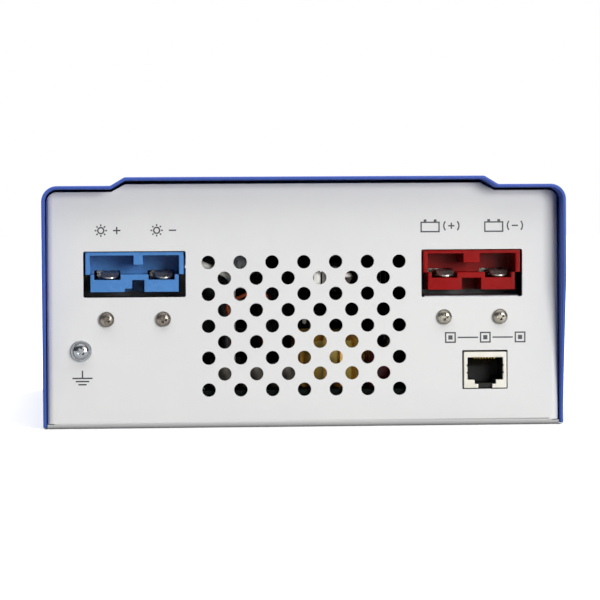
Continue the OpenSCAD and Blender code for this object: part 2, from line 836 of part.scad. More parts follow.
// Genderless housing: a hood above and a tongue below, which take the other half turned over
module connector_housing(key_w, key_step, key_x = 0) {
    half_h = housing_h / 2;
    slot_w = key_w + 1;
    floor_z = -tongue_h;
    difference() {
        union() {
            block([-housing_w / 2, hood_l, -half_h], [housing_w / 2, housing_l, half_h]);
            difference() {
                block([-hood_w / 2, 0, 0], [hood_w / 2, hood_l + past, half_h]);
                block([-hood_w / 2 + hood_side, -past, -past],
                      [hood_w / 2 - hood_side, hood_l, half_h - hood_roof]);
            }
            block([key_x - key_w / 2, 0, half_h - key_drop], [key_x + key_w / 2, hood_l + past, half_h]);
            difference() {
                block([-tongue_w / 2, tongue_recess, floor_z], [tongue_w / 2, hood_l + past, 0]);
                block([key_x - slot_w / 2, -past, floor_z - past], [key_x + slot_w / 2, hood_l, slot_z]);
                block([key_x - slot_w / 2 - key_step, -past, floor_z - past],
                      [key_x, hood_l, floor_z + 1.2]);
            }
        }
        contact_pair() {
            block([-channel_w / 2, -past, channel_z], [channel_w / 2, hood_l, past]);
            block([-channel_w / 2, hood_l - past, channel_z], [channel_w / 2, barrel_y, hump_z + slack]);
            block([-spring_w / 2 - 0.2, 6, spring_groove_z], [spring_w / 2 + 0.2, barrel_y - 2, 0]);
            translate([0, housing_l + past, 0]) rotate([90, 0, 0])
                cylinder(d = cable_bore_d, h = housing_l + past - barrel_y + past);
        }
        connector_screw_pair() translate([0, 0, -half_h - past])
            cylinder(d = screw_hole_d, h = housing_h + 2 * past);
    }
}

// Side view of a contact's blade: its tip dips and its middle rises to a hump, drawn in Y and Z
module blade_profile() {
    polygon([
        [4, channel_z + 0.3], [5.5, channel_z + 0.7], [7.2, channel_z + 1.4], [9, channel_z + 1.65],
        [16, channel_z + 1.6], [20, channel_z + 0.9], [barrel_y + 1, channel_z + 0.9],
        [barrel_y + 1, channel_z + 0.9 + blade_t], [20, channel_z + 0.9 + blade_t], [16, hump_z],
        [9, hump_z], [7.2, hump_z - 0.4], [5.5, channel_z + 1.4], [4, channel_z + 0.85]]);
}

module connector_contacts() contact_pair() {
    translate([contact_shift, 0, 0]) intersection() {
        along_x(-contact_w / 2, contact_w / 2) blade_profile();
        along_z(-5, 5) {
            translate([0, 4 + contact_w / 2]) circle(d = contact_w);
            translate([-contact_w / 2, 4 + contact_w / 2]) square([contact_w, barrel_y]);
        }
    }
    translate([0, barrel_end_y, 0]) rotate([90, 0, 0]) difference() {
        cylinder(d = barrel_d, h = barrel_end_y - barrel_y);
        translate([0, 0, -past]) cylinder(d = barrel_d - 2, h = barrel_end_y - barrel_y - 2);
    }
}

// Leaf spring that presses the contact up
module connector_springs() contact_pair() along_x(-spring_w / 2, spring_w / 2) polygon([
    [8, -2.4], [12, -1.6], [17, -1.4], [barrel_y - 3, -2.9], [barrel_y - 3, -3.3],
    [17, -1.8], [12, -2], [8, -2.8]]);

module connector_bracket() {
    leg = connector_screw_y[1] + 5;
    difference() {
        translate([0, chassis_t - hood_recess, -housing_h / 2]) mirror([0, 0, 1])
            along_x(-bracket_w / 2, bracket_w / 2)
                fold_section(leg, bracket_drop, bracket_t, bracket_t + 0.3);
        connector_screw_pair() translate([0, 0, -housing_h]) cylinder(d = screw_hole_d, h = housing_h);
        translate([0, -past, -conn_z]) along_y(0, 6) bracket_screw_pair() circle(d = screw_hole_d);
    }
}

module bracket_screws(side) translate([side * conn_x, face_y, bracket_screw_z])
    for (x = [-1, 1]) translate([x * bracket_dx / 2, 0, 0]) facing_front() pan_screw(8);

module pv_housing() color("#4f8fd6") at_connector(-1) connector_housing(pv_key_w, 2.6, pv_key_x);

module pv_contacts() color("#d0d2d6") at_connector(-1) connector_contacts();

module pv_springs() color("#a9adb2") at_connector(-1) connector_springs();

module pv_bracket() color("#9b9fa3") at_connector(-1) connector_bracket();

module pv_bracket_screws() color("#6d6a66") bracket_screws(-1);

module battery_housing() color("#a81c1c") at_connector(1) connector_housing(battery_key_w, 0);

module battery_contacts() color("#d0d2d6") at_connector(1) connector_contacts();

module battery_springs() color("#a9adb2") at_connector(1) connector_springs();

module battery_bracket() color("#c2c5c8") at_connector(1) connector_bracket();

module battery_bracket_screws() color("#d9d6cf") bracket_screws(1);

module connector_screws() color("silver") for (side = [-1, 1]) at_connector(side)
    connector_screw_pair() translate([0, 0, housing_h / 2]) pan_screw(housing_h + bracket_t + 4);

module m3_nuts() color("#b5b8bc") {
    for (side = [-1, 1]) {
        at_connector(side) connector_screw_pair()
            translate([0, 0, -housing_h / 2 - bracket_t - 2.4]) hex_nut(screw_d, 5.5, 2.4);
        translate([side * conn_x, inner_y + bracket_t, 0]) for (x = [-1, 1])
            translate([x * bracket_dx / 2, 0, bracket_screw_z]) facing_rear() hex_nut(screw_d, 5.5, 2.4);
    }
    translate([-earth_x, inner_y, earth_z]) facing_rear() hex_nut(screw_d, 5.5, 2.4);
}

// Where a cable leaves its contact, and where it stands in its lug
function cable_start(side, way) =
    [side * conn_x + way * contact_pitch / 2, face_y + hood_recess + barrel_end_y + 0.3, conn_z];
function cable_end(terminal) = [terminal[0], terminal[1] - lug_reach, lug_z + lug_t + 0.5];

// Places that a cable passes, from the face of the panel in Y and from the connector in Z
pv_plus_way = [[-69.6, 56, 0], [-65, 66, 1], [-48, 76, 0], [-31, 81, -5]];
pv_minus_way = [[-50.4, 54, 0], [-51, 65, -2]];
battery_plus_way = [[50.4, 54, 0], [50.4, 66, -2]];
battery_minus_way = [[69.6, 54, 0], [69.6, 66, -2]];

module cable(start, way, end) {
    passed = [for (p = way) [p[0], face_y + p[1], conn_z + p[2]]];
    sweep(smooth(concat([start], passed, [end + [0, 0, 15], end]), 2), cable_d / 2);
}

module pv_cables() {
    color("#c23a22") cable(cable_start(-1, -1), pv_plus_way, cable_end(pv_terminals[0]));
    color("#1d1e20") cable(cable_start(-1, 1), pv_minus_way, cable_end(pv_terminals[1]));
}

module battery_cables() {
    color("#c23a22") cable(cable_start(1, -1), battery_plus_way, cable_end(battery_terminals[0]));
    color("#1d1e20") cable(cable_start(1, 1), battery_minus_way, cable_end(battery_terminals[1]));
}

// ---- Earth screw ----

washer_t = 0.6;
spring_washer_t = 0.8;

module at_earth() translate([-earth_x, face_y, earth_z]) facing_front() children();

module earth_screw() color("#d9d6cf") at_earth() translate([0, 0, washer_t + spring_washer_t]) pan_screw(9);

module earth_washers() color("#c9ccd0") at_earth() difference() {
    union() {
        cylinder(d = 7.5, h = washer_t);
        translate([0, 0, washer_t]) cylinder(d = 6, h = spring_washer_t);
    }
    translate([0, 0, -past]) cylinder(d = screw_d + 0.2, h = 4);
    translate([-0.3, 0, washer_t]) cube([0.6, 4, past]);
}

// ---- Data jack ----

module at_jack() translate([jack_x, face_y + 0.2, jack_z]) children();

// Outline of the jack's mouth, stepped down to the slot for the plug's latch
module jack_mouth(grow = 0) translate([0, jack_mouth_z]) {
    top = jack_mouth_h / 2 + grow;
    square([jack_mouth_w, jack_mouth_h] + [2, 2] * grow, center = true);
    translate([-3.8 - grow, -jack_mouth_h / 2 - 1.5 - grow]) square([7.6 + 2 * grow, top]);
    translate([-2.5 - grow, -jack_mouth_h / 2 - 3.2]) square([5 + 2 * grow, top]);
}

// Small dents in the sides of the mouth
module jack_dents() for (side = [-1, 1], z = [1.6, -1])
    translate([side * jack_mouth_w / 2, z]) square([0.7, 0.5], center = true);

jack_core_t = 0.8;
jack_core_front = 1.6;

module data_jack_body() color("#e6e2d2") at_jack() difference() {
    along_y(0, jack_l) square([jack_w, jack_h], center = true);
    along_y(-past, jack_core_front) {
        jack_mouth();
        jack_dents();
    }
    block([-jack_mouth_w / 2 - 0.7, jack_core_front - fit, -jack_h / 2 + 0.9],
          [jack_mouth_w / 2 + 0.7, jack_l - 1, jack_mouth_z + jack_mouth_h / 2 + 0.7]);
    block([-2.5, -past, -jack_h / 2 - past], [2.5, 4, -jack_h / 2 + 2]);
}

module data_jack_core() color("#1b1c1e") at_jack() difference() {
    union() {
        block([-jack_mouth_w / 2 - 0.6, jack_core_front, -jack_h / 2 + 1],
              [jack_mouth_w / 2 + 0.6, jack_l - 1.2, jack_mouth_z + jack_mouth_h / 2 + 0.6]);
        block([-2.4, jack_core_front, -jack_h / 2], [2.4, 3.9, -jack_h / 2 + 2]);
    }
    along_y(0, jack_l - 4) intersection() {
        jack_mouth(-0.1);
        translate([-20, -jack_h / 2 + 1.6]) square([40, 20]);
    }
}

module data_jack_contacts() color("#cfa74a") at_jack() for (i = [0 : 7])
    translate([(i - 3.5) * 1.02, 0, jack_mouth_z]) along_x(-0.18, 0.18) polygon([
        [3, jack_mouth_h / 2 - 0.15], [3, jack_mouth_h / 2 - 0.5], [11, 0.7], [11.4, 1],
        [4, jack_mouth_h / 2 - 0.15]]);

// ---- Fan ----

module at_fan() translate([0, fan_y, fan_z]) children();

module fan_frame() color("#1d1f21") at_fan() {
    difference() {
        union() {
            along_y(0, fan_flange_l) soft_rect([fan_size, fan_size], 4);
            along_y(fan_l - fan_flange_l, fan_l) soft_rect([fan_size, fan_size], 4);
            along_y(0, fan_l) circle(d = fan_size - 0.4);
        }
        along_y(-past, fan_l + past) circle(duct_r);
        along_y(-past, fan_l + past) fan_screw_corners() circle(d = fan_screw_d + 0.4);
    }
    difference() {
        along_y(fan_l - motor_base_l, fan_l) {
            circle(d = hub_d - 1);
            for (turn = [0 : 3]) rotate(45 + 90 * turn) translate([-2, 0]) square([4, duct_r + 0.5]);
        }
        along_y(fan_l - motor_base_l - past, fan_l + past) circle(d = bush_d + 2 * fit);
    }
}

module fan_bearing() color("#b08a4a") at_fan() difference() {
    along_y(fan_l - 14, fan_l - 1) circle(d = bush_d);
    along_y(fan_l - 14 - past, fan_l) circle(d = shaft_d + 2 * fit);
}

// A blade: cambered sections, set flatter towards the tip and wrapped round the shaft
blade_stations = 5;
blade_steps = 6;
blade_chord = 24;
blade_thickness = 1.4;

function blade_angle(u) = 52 - 22 * u;

// Point at u from root to tip and s from the leading to the trailing edge, on one face of the blade
function blade_point(u, s, face) =
    let (r = hub_d / 2 - 1 + u * (blade_tip_r - hub_d / 2 + 1),
         chord = blade_chord * (0.75 + 0.25 * u),
         camber = 0.09 * chord * sin(180 * s),
         depth = blade_thickness * (0.25 + 0.75 * sin(180 * s)) / 2,
         along = (s - 0.5) * chord,
         across = camber + face * depth,
         arc = along * cos(blade_angle(u)) - across * sin(blade_angle(u)),
         rise = along * sin(blade_angle(u)) + across * cos(blade_angle(u)),
         turn = arc / r * 180 / PI)
    [r * sin(turn), rise, r * cos(turn)];

module fan_blade() {
    around = 2 * (blade_steps + 1);
    points = [for (i = [0 : blade_stations - 1])
        let (u = i / (blade_stations - 1))
        each concat([for (k = [0 : blade_steps]) blade_point(u, k / blade_steps, 1)],
                    [for (k = [blade_steps : -1 : 0]) blade_point(u, k / blade_steps, -1)])];
    walls = [for (i = [0 : blade_stations - 2], k = [0 : around - 1])
        let (a = i * around + k, b = i * around + (k + 1) % around)
        each [[a, b, b + around], [a, b + around, a + around]]];
    last = (blade_stations - 1) * around;
    caps = [for (k = [0 : blade_steps - 1]) let (a = k, b = k + 1, c = around - 2 - k, d = around - 1 - k)
        each [[a, c, b], [a, d, c], [last + a, last + b, last + c], [last + a, last + c, last + d]]];
    polyhedron(points, concat(walls, caps), convexity = 4);
}

module fan_rotor() color("#26282b") at_fan() {
    difference() {
        along_y(1.5, fan_l - motor_base_l - 1) circle(d = hub_d);
        along_y(4, fan_l) circle(d = hub_d - 3);
    }
    along_y(3, fan_l - 2) circle(d = shaft_d);
    for (i = [0 : blade_count - 1])
        rotate([0, 360 * i / blade_count, 0]) translate([0, (fan_l - motor_base_l) / 2 + 0.3, 0]) fan_blade();
}

module fan_screws() color("silver") translate([0, panel_y, fan_z])
    for (x = [-1, 1], z = [-1, 1]) translate([x * fan_pitch / 2, 0, z * fan_pitch / 2])
        facing_rear() pan_screw(chassis_t + fan_l + 4.5, fan_screw_d, 7.4, 2.6);

module m4_nuts() color("#b5b8bc") at_fan()
    for (x = [-1, 1], z = [-1, 1]) translate([x * fan_pitch / 2, 0, z * fan_pitch / 2])
        facing_front() hex_nut(fan_screw_d, 7, 3.2);

fan_lead_r = 1.1;

// The lead lies in front of the fan and drops to the main board beside the heat sink
module fan_lead() color("#b03028") {
    start = [-37, fan_y - fan_lead_r - 0.1, fan_z - 28];
    end = [-43, board_rear - 8, deck_z + fan_lead_r + 0.1];
    sweep(smooth([start, start + [-1, -1.5, -4], end + [2, 6, 5], end + [1, 4, 0], end], 2), fan_lead_r, 8);
}

chassis();
cover();
cover_screws();
display_window();
lcd_module();
display_board();
display_standoffs();
display_screws();
menu_key();
down_key();
up_key();
enter_key();
key_switches();
status_lights();
ribbon_cable();
ribbon_headers();
main_board();
board_standoffs();
board_screws();
control_chips();
filter_capacitors();
input_capacitors();
output_capacitors();
film_capacitors();
inductor_cores();
inductor_windings();
fuses();
heat_sink();
power_transistors();
thermal_strips();
clamp_bars();
clamp_screws();
terminal_blocks();
cable_lugs();
terminal_screws();
pv_housing();
pv_contacts();
pv_springs();
pv_bracket();
pv_bracket_screws();
battery_housing();
battery_contacts();
battery_springs();
battery_bracket();
battery_bracket_screws();
connector_screws();
m3_nuts();
pv_cables();
battery_cables();
earth_screw();
earth_washers();
data_jack_body();
data_jack_core();
data_jack_contacts();
fan_frame();
fan_rotor();
fan_bearing();
fan_screws();
m4_nuts();
fan_lead();
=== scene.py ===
"""Visual model of a solar charge controller in a folded steel case.

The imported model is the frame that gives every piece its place. Sizes here are millimetres until a
piece is published, and metres from then on.
"""

import logging
import math
import random
from dataclasses import dataclass
from enum import Enum
from typing import Callable, Iterable, Sequence

import bmesh
import bpy
from mathutils import Matrix, Vector


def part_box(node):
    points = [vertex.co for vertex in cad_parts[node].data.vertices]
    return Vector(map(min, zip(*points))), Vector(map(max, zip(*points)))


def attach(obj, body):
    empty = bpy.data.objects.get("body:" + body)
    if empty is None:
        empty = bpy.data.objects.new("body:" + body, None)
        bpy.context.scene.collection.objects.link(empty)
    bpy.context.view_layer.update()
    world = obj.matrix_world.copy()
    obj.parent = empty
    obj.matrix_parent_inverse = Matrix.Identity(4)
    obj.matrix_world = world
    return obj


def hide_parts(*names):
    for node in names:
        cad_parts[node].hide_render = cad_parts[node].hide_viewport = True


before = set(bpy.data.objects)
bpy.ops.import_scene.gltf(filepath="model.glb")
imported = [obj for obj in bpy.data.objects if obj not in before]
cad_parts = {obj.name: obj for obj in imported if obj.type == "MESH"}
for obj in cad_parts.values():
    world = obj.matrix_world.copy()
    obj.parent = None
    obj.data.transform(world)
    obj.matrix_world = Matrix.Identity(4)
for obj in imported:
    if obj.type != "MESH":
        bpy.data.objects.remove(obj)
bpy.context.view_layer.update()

MM = 0.001
MERGE = 1e-6
QUARTER = math.pi / 2
UNIT = (0.0, 1.0)
SPECK_EDGE = (0.08, 0.16)
MOTTLE_EDGE = (0.35, 0.65)
STREAK_EDGE = (0.3, 0.7)
LOG = logging.getLogger("charge_controller")

Colour = tuple[float, float, float, float]
Point = tuple[float, float]
Spot = tuple[float, float, float]
Shape = bmesh.types.BMesh
Socket = bpy.types.NodeSocket


def turned(angle: float) -> Matrix:
    """Gives a turn round Z."""
    return Matrix.Rotation(angle, 4, "Z")


def linked(name: str, data: bpy.types.ID) -> bpy.types.Object:
    """Puts an object with some data into the scene.

    Args:
        name: Name of the object.
        data: Its mesh, curve, light or camera.

    Returns:
        The object.
    """
    thing = bpy.data.objects.new(name, data)
    bpy.context.scene.collection.objects.link(thing)
    return thing


def rgb(text: str) -> Colour:
    """Turns a hexadecimal screen colour into a linear one.

    Args:
        text: Six hexadecimal digits after a hash sign.

    Returns:
        Red, green, blue and a full alpha.
    """
    parts = [int(text[i:i + 2], 16) / 255 for i in (1, 3, 5)]
    linear = [c / 12.92 if c <= 0.04045 else ((c + 0.055) / 1.055) ** 2.4 for c in parts]
    return (linear[0], linear[1], linear[2], 1.0)


@dataclass(frozen=True)
class Box:
    """Extent of a solid in millimetres."""

    low: Vector
    high: Vector

    @classmethod
    def of(cls, node: str) -> "Box":
        """Gives the extent of a CAD node."""
        low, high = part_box(node)
        return cls(low / MM, high / MM)

    @property
    def centre(self) -> Vector:
        """Middle of the extent."""
        return (self.low + self.high) / 2

    @property
    def size(self) -> Vector:
        """Length of the extent along each axis."""
        return self.high - self.low


class Facing(Enum):
    """Way that a piece drawn along +Z points once it is in place."""

    UP = (0, 0, 1)
    DOWN = (0, 0, -1)
    FRONT = (0, -1, 0)
    REAR = (0, 1, 0)
    LEFT = (-1, 0, 0)
    RIGHT = (1, 0, 0)

    @property
    def axis(self) -> Vector:
        """Unit vector of the direction."""
        return Vector(self.value)

    @property
    def turn(self) -> Matrix:
        """Rotation that brings +Z to the direction, and keeps +X where it can.

        Returns:
            A matrix of four rows.
        """
        if self is Facing.UP:
            return Matrix.Identity(4)
        if self in (Facing.LEFT, Facing.RIGHT):
            return Matrix.Rotation(math.copysign(QUARTER, self.value[0]), 4, "Y")
        angle = {Facing.DOWN: math.pi, Facing.FRONT: QUARTER, Facing.REAR: -QUARTER}[self]
        return Matrix.Rotation(angle, 4, "X")


# ---- Node trees ----


class NodeBench:
    """Short ways to add nodes to one node tree."""

    def __init__(self, tree: bpy.types.NodeTree) -> None:
        """Keeps the tree that the nodes go into."""
        self.tree = tree

    def add(self, kind: str, inputs: dict | None = None, **settings: object) -> bpy.types.Node:
        """Adds a node.

        Args:
            kind: Blender's name of the node type.
            inputs: Value or source socket of each input, by its name or number.
            settings: Properties of the node itself.

        Returns:
            The new node.
        """
        node = self.tree.nodes.new(kind)
        for key, value in settings.items():
            setattr(node, key, value)
        for key, value in (inputs or {}).items():
            self.feed(node.inputs[key], value)
        return node

    def feed(self, socket: Socket, value: object) -> None:
        """Links a socket to another, or sets its value.

        Args:
            socket: Input of a node.
            value: Source socket or plain value.
        """
        if isinstance(value, bpy.types.NodeSocket):
            self.tree.links.new(value, socket)
        else:
            socket.default_value = value

    def noise(self, place: object, scale: object, detail: float = 3.0) -> Socket:
        """Adds a noise texture and gives its value."""
        inputs = {"Vector": place, "Scale": scale, "Detail": detail}
        return self.add("ShaderNodeTexNoise", inputs).outputs[0]

    def maths(self, operation: str, *values: object) -> Socket:
        """Adds a Math node on up to three values and gives its result."""
        inputs = dict(enumerate(values))
        return self.add("ShaderNodeMath", inputs, operation=operation).outputs[0]

    def span(self, value: object, source: Point, target: Point) -> Socket:
        """Maps a value smoothly from one range to another.

        Args:
            value: Value or source socket.
            source: Ends of the range that it comes from.
            target: Ends of the range that it goes to.

        Returns:
            The mapped value.
        """
        inputs = dict(zip(("Value", "From Min", "From Max", "To Min", "To Max"),
                          (value, *source, *target)))
        return self.add("ShaderNodeMapRange", inputs, interpolation_type="SMOOTHSTEP").outputs[0]

    def blend(self, mask: object, low: object, high: object) -> Socket:
        """Mixes two colours by a mask."""
        inputs = {0: mask, 6: low, 7: high}
        return self.add("ShaderNodeMix", inputs, data_type="RGBA").outputs[2]


class Effect(Enum):
    """Effects that several materials share, each a node group built once.

    A layered noise has, after its name, the detail of the coarse layer, the scale of the fine
    layer against it, and the shares of the fine and the coarse layer.
    """

    MOTTLE = ("mottle", 4.0, 7.0, 0.35, 0.65)
    PEEL = ("peel", 1.0, 4.0, 0.3, 1.0)
    STREAK = ("streak", 5.0, 5.0, 0.5, 0.5)
    SPECK = ("speck",)

    def group(self) -> bpy.types.NodeTree:
        """Gives the effect's node group, and builds it at the first call.

        Returns:
            A group with the inputs Place and Scale, and one value between 0 and 1 as output.
        """
        name, *layers = self.value
        made = bpy.data.node_groups.get(name)
        if made:
            return made
        tree = bpy.data.node_groups.new(name, "ShaderNodeTree")
        for label, way, kind in (("Place", "INPUT", "Vector"), ("Scale", "INPUT", "Float"),
                                 ("Value", "OUTPUT", "Float")):
            tree.interface.new_socket(label, in_out=way, socket_type="NodeSocket" + kind)
        bench = NodeBench(tree)
        place, scale = bench.add("NodeGroupInput").outputs[:2]
        if layers:
            result = self.layered(bench, place, scale, *layers)
        else:
            cells = bench.add("ShaderNodeTexVoronoi", {"Vector": place, "Scale": scale})
            result = bench.span(cells.outputs["Distance"], SPECK_EDGE, (1.0, 0.0))
        if self is Effect.MOTTLE:
            result = bench.span(result, MOTTLE_EDGE, UNIT)
        bench.add("NodeGroupOutput", {0: result})
        return tree

    @staticmethod
    def layered(bench: NodeBench, place: object, scale: object, detail: float, step: float,
                fine_share: float, coarse_share: float) -> Socket:
        """Lays a fine noise over a coarse one.

        Args:
            bench: Tree of the group.
            place: Place on the surface.
            scale: Scale of the coarse layer.
            detail: Detail of the coarse layer.
            step: Scale of the fine layer against the coarse one.
            fine_share: Share of the fine layer.
            coarse_share: Share of the coarse layer.

        Returns:
            The sum.
        """
        coarse = bench.noise(place, scale, detail)
        fine = bench.noise(place, bench.maths("MULTIPLY", scale, step), 2.0)
        if coarse_share < 1.0:
            coarse = bench.maths("MULTIPLY", coarse, coarse_share)
        return bench.maths("MULTIPLY_ADD", fine, fine_share, coarse)


class Shade(NodeBench):
    """A material's node tree, with its Principled shader and its place on the object."""

    def __init__(self, name: str) -> None:
        """Makes an empty material.

        Args:
            name: Name of the material.
        """
        self.material = bpy.data.materials.new(name)
        self.material.use_nodes = True
        super().__init__(self.material.node_tree)
        self.surface = self.tree.nodes["Principled BSDF"]
        self.place = self.add("ShaderNodeTexCoord").outputs["Object"]

    def stretched(self, scale: Sequence[float]) -> Socket:
        """Gives the place on the object, scaled along each axis."""
        return self.add("ShaderNodeMapping", {"Vector": self.place, "Scale": scale}).outputs[0]

    def effect(self, effect: Effect, scale: float, place: object = None) -> Socket:
        """Places a shared effect and gives its value."""
        inputs = {"Place": place or self.place, "Scale": scale}
        return self.add("ShaderNodeGroup", inputs, node_tree=effect.group()).outputs[0]

    def set(self, **values: object) -> None:
        """Sets sockets of the Principled shader, with _ for a space in their names."""
        for key, value in values.items():
            self.feed(self.surface.inputs[key.replace("_", " ")], value)

    def bump(self, height: object, distance: float, strength: float = 1.0) -> None:
        """Raises the surface by a height, at most by a distance in millimetres."""
        inputs = {"Height": height, "Distance": distance * MM, "Strength": strength}
        self.set(Normal=self.add("ShaderNodeBump", inputs).outputs[0])


# ---- Finishes ----


@dataclass(frozen=True)
class Recipe:
    """Base of the finishes, with the record's slot and the name of the material."""

    slot: str
    name: str

    def build(self) -> bpy.types.Material:
        """Builds the material.

        Returns:
            The material, painted.
        """
        shade = Shade(self.name)
        self.paint(shade)
        return shade.material

    def paint(self, shade: Shade) -> None:
        """Sets the shader, in a way of its own for each finish.

        Args:
            shade: Node tree of the new material.
        """
        raise NotImplementedError(shade)


@dataclass(frozen=True)
class PowderCoat(Recipe):
    """Sprayed and baked powder, with a fine orange peel and slightly uneven colour."""

    colour: str
    shadow: str
    roughness: Point
    cloud: float = 14.0
    dust: float = 420.0
    peel: float = 1100.0
    peel_depth: float = 0.014
    coat: Point = (0.03, 0.0)
    coat_roughness: float = 0.5

    def paint(self, shade: Shade) -> None:
        """Sets the shader.

        Args:
            shade: Node tree of the new material.
        """
        cloud = shade.effect(Effect.MOTTLE, self.cloud)
        dust = shade.effect(Effect.SPECK, self.dust)
        base = shade.blend(cloud, rgb(self.shadow), rgb(self.colour))
        shade.set(Base_Color=base, Roughness=shade.span(cloud, UNIT, self.roughness))
        shade.set(Coat_Weight=shade.span(dust, UNIT, self.coat))
        shade.set(Coat_Roughness=self.coat_roughness)
        shade.bump(shade.effect(Effect.PEEL, self.peel), self.peel_depth)


@dataclass(frozen=True)
class Moulding(Recipe):
    """Injection-moulded plastic with a spark-eroded grain and faint flow clouds."""

    colour: str
    shadow: str
    roughness: Point = (0.3, 0.42)
    grain: float = 0.02
    scatter: float = 0.0
    shine: float = 0.5
    cloud: float = 60.0
    peel: float = 3200.0
    ior: float = 1.58
    depth_of_light: Spot = (0.6, 0.6, 0.6)

    def paint(self, shade: Shade) -> None:
        """Sets the shader.

        Args:
            shade: Node tree of the new material.
        """
        cloud = shade.effect(Effect.MOTTLE, self.cloud)
        shade.set(Base_Color=shade.blend(cloud, rgb(self.shadow), rgb(self.colour)))
        shade.set(Roughness=shade.span(cloud, UNIT, self.roughness), IOR=self.ior)
        shade.set(Specular_IOR_Level=self.shine)
        if self.scatter:
            shade.set(Subsurface_Weight=self.scatter, Subsurface_Radius=self.depth_of_light)
            shade.set(Subsurface_Scale=MM)
        shade.bump(shade.effect(Effect.PEEL, self.peel), self.grain)


@dataclass(frozen=True)
class Metal(Recipe):
    """Bare or plated metal with drawn lines and a little tarnish."""

    colour: str
    tarnish: str
    roughness: Point
    lines: Spot = (1.0, 1.0, 1.0)
    depth: float = 0.006
    metallic: float = 1.0
    streak: float = 700.0
    stain: float = 160.0
    stain_share: float = 0.55
    speck: float = 1500.0

    def paint(self, shade: Shade) -> None:
        """Sets the shader.

        Args:
            shade: Node tree of the new material.
        """
        line = shade.effect(Effect.STREAK, self.streak, shade.stretched(self.lines))
        stain = shade.effect(Effect.MOTTLE, self.stain)
        speck = shade.effect(Effect.SPECK, self.speck)
        spots = shade.maths("MAXIMUM", shade.maths("MULTIPLY", stain, self.stain_share), speck)
        shade.set(Base_Color=shade.blend(spots, rgb(self.colour), rgb(self.tarnish)))
        shade.set(Metallic=self.metallic)
        shade.set(Roughness=shade.span(line, STREAK_EDGE, self.roughness))
        shade.bump(line, self.depth)


@dataclass(frozen=True)
class Rubber(Recipe):
    """Soft jacket or pad, matt, with a wiped and slightly dusty surface."""

    colour: str
    dust: str
    dust_share: float = 0.3
    cloud: float = 90.0
    roughness: Point = (0.42, 0.6)
    sheen: float = 0.1
    peel: float = 1800.0
    peel_depth: float = 0.015

    def paint(self, shade: Shade) -> None:
        """Sets the shader.

        Args:
            shade: Node tree of the new material.
        """
        cloud = shade.effect(Effect.MOTTLE, self.cloud)
        dust = shade.maths("MULTIPLY", cloud, self.dust_share)
        shade.set(Base_Color=shade.blend(dust, rgb(self.colour), rgb(self.dust)))
        shade.set(Roughness=shade.span(cloud, UNIT, self.roughness), Sheen_Weight=self.sheen)
        shade.bump(shade.effect(Effect.PEEL, self.peel), self.peel_depth)


@dataclass(frozen=True)
class Clear(Recipe):
    """Glass or clear plastic."""

    colour: str
    ior: float = 1.49
    roughness: Point = (0.02, 0.04)
    haze: float = 50.0

    def paint(self, shade: Shade) -> None:
        """Sets the shader.

        Args:
            shade: Node tree of the new material.
        """
        haze = shade.effect(Effect.MOTTLE, self.haze)
        shade.set(Base_Color=rgb(self.colour), Transmission_Weight=1.0, IOR=self.ior)
        shade.set(Roughness=shade.span(haze, UNIT, self.roughness))


@dataclass(frozen=True)
class SolderMask(Recipe):
    """Green lacquer over copper tracks and pours."""

    colour: str
    over_copper: str
    pour: float = 110.0
    pour_edge: Point = (0.05, 0.06)
    track: float = 260.0
    track_bend: float = 1.5
    track_edge: Point = (0.55, 0.6)
    region: float = 28.0
    region_edge: Point = (0.5, 0.52)
    roughness: float = 0.6
    shine: float = 0.05
    copper_t: float = 0.03

    def paint(self, shade: Shade) -> None:
        """Sets the shader.

        Args:
            shade: Node tree of the new material.
        """
        flat = shade.stretched((1.0, 1.0, 0.02))
        cells = shade.add("ShaderNodeTexVoronoi", {"Vector": flat, "Scale": self.pour},
                          distance="CHEBYCHEV", feature="DISTANCE_TO_EDGE")
        pours = shade.span(cells.outputs["Distance"], self.pour_edge, UNIT)
        inputs = {"Vector": flat, "Scale": self.track, "Distortion": self.track_bend}
        waves = shade.add("ShaderNodeTexWave", inputs)
        tracks = shade.span(waves.outputs["Fac"], self.track_edge, UNIT)
        region = shade.span(shade.noise(flat, self.region), self.region_edge, UNIT)
        copper = shade.maths("MULTIPLY_ADD", shade.maths("SUBTRACT", tracks, pours), region, pours)
        shade.set(Base_Color=shade.blend(copper, rgb(self.colour), rgb(self.over_copper)))
        shade.set(Roughness=self.roughness, Specular_IOR_Level=self.shine)
        shade.bump(copper, self.copper_t)


@dataclass(frozen=True)
class RibbonJacket(Recipe):
    """Flat cable whose cores lie side by side along Z, one of them marked, with painted shade in
    the grooves between them.
    """

    colour: str
    groove_shade: str
    marked: str
    core_pitch: float = 1.27
    marked_edge: Point = (-8.9, -8.7)
    groove_shade_edge: Point = (-1.0, -0.6)
    roughness: float = 0.5
    rise: float = 0.25

    def paint(self, shade: Shade) -> None:
        """Sets the shader.

        Args:
            shade: Node tree of the new material.
        """
        across = shade.add("ShaderNodeSeparateXYZ", {0: shade.place}).outputs["X"]
        phase = shade.maths("MULTIPLY", across, math.tau / (self.core_pitch * MM))
        ridge = shade.maths("COSINE", phase)
        edge = (self.marked_edge[0] * MM, self.marked_edge[1] * MM)
        first = shade.span(across, edge, (1.0, 0.0))
        raised = shade.span(ridge, self.groove_shade_edge, UNIT)
        # Painted shade: the grooves between the cores take a darker colour.
        grey = shade.blend(raised, rgb(self.groove_shade), rgb(self.colour))
        shade.set(Base_Color=shade.blend(first, grey, rgb(self.marked)), Roughness=self.roughness)
        shade.bump(ridge, self.rise)


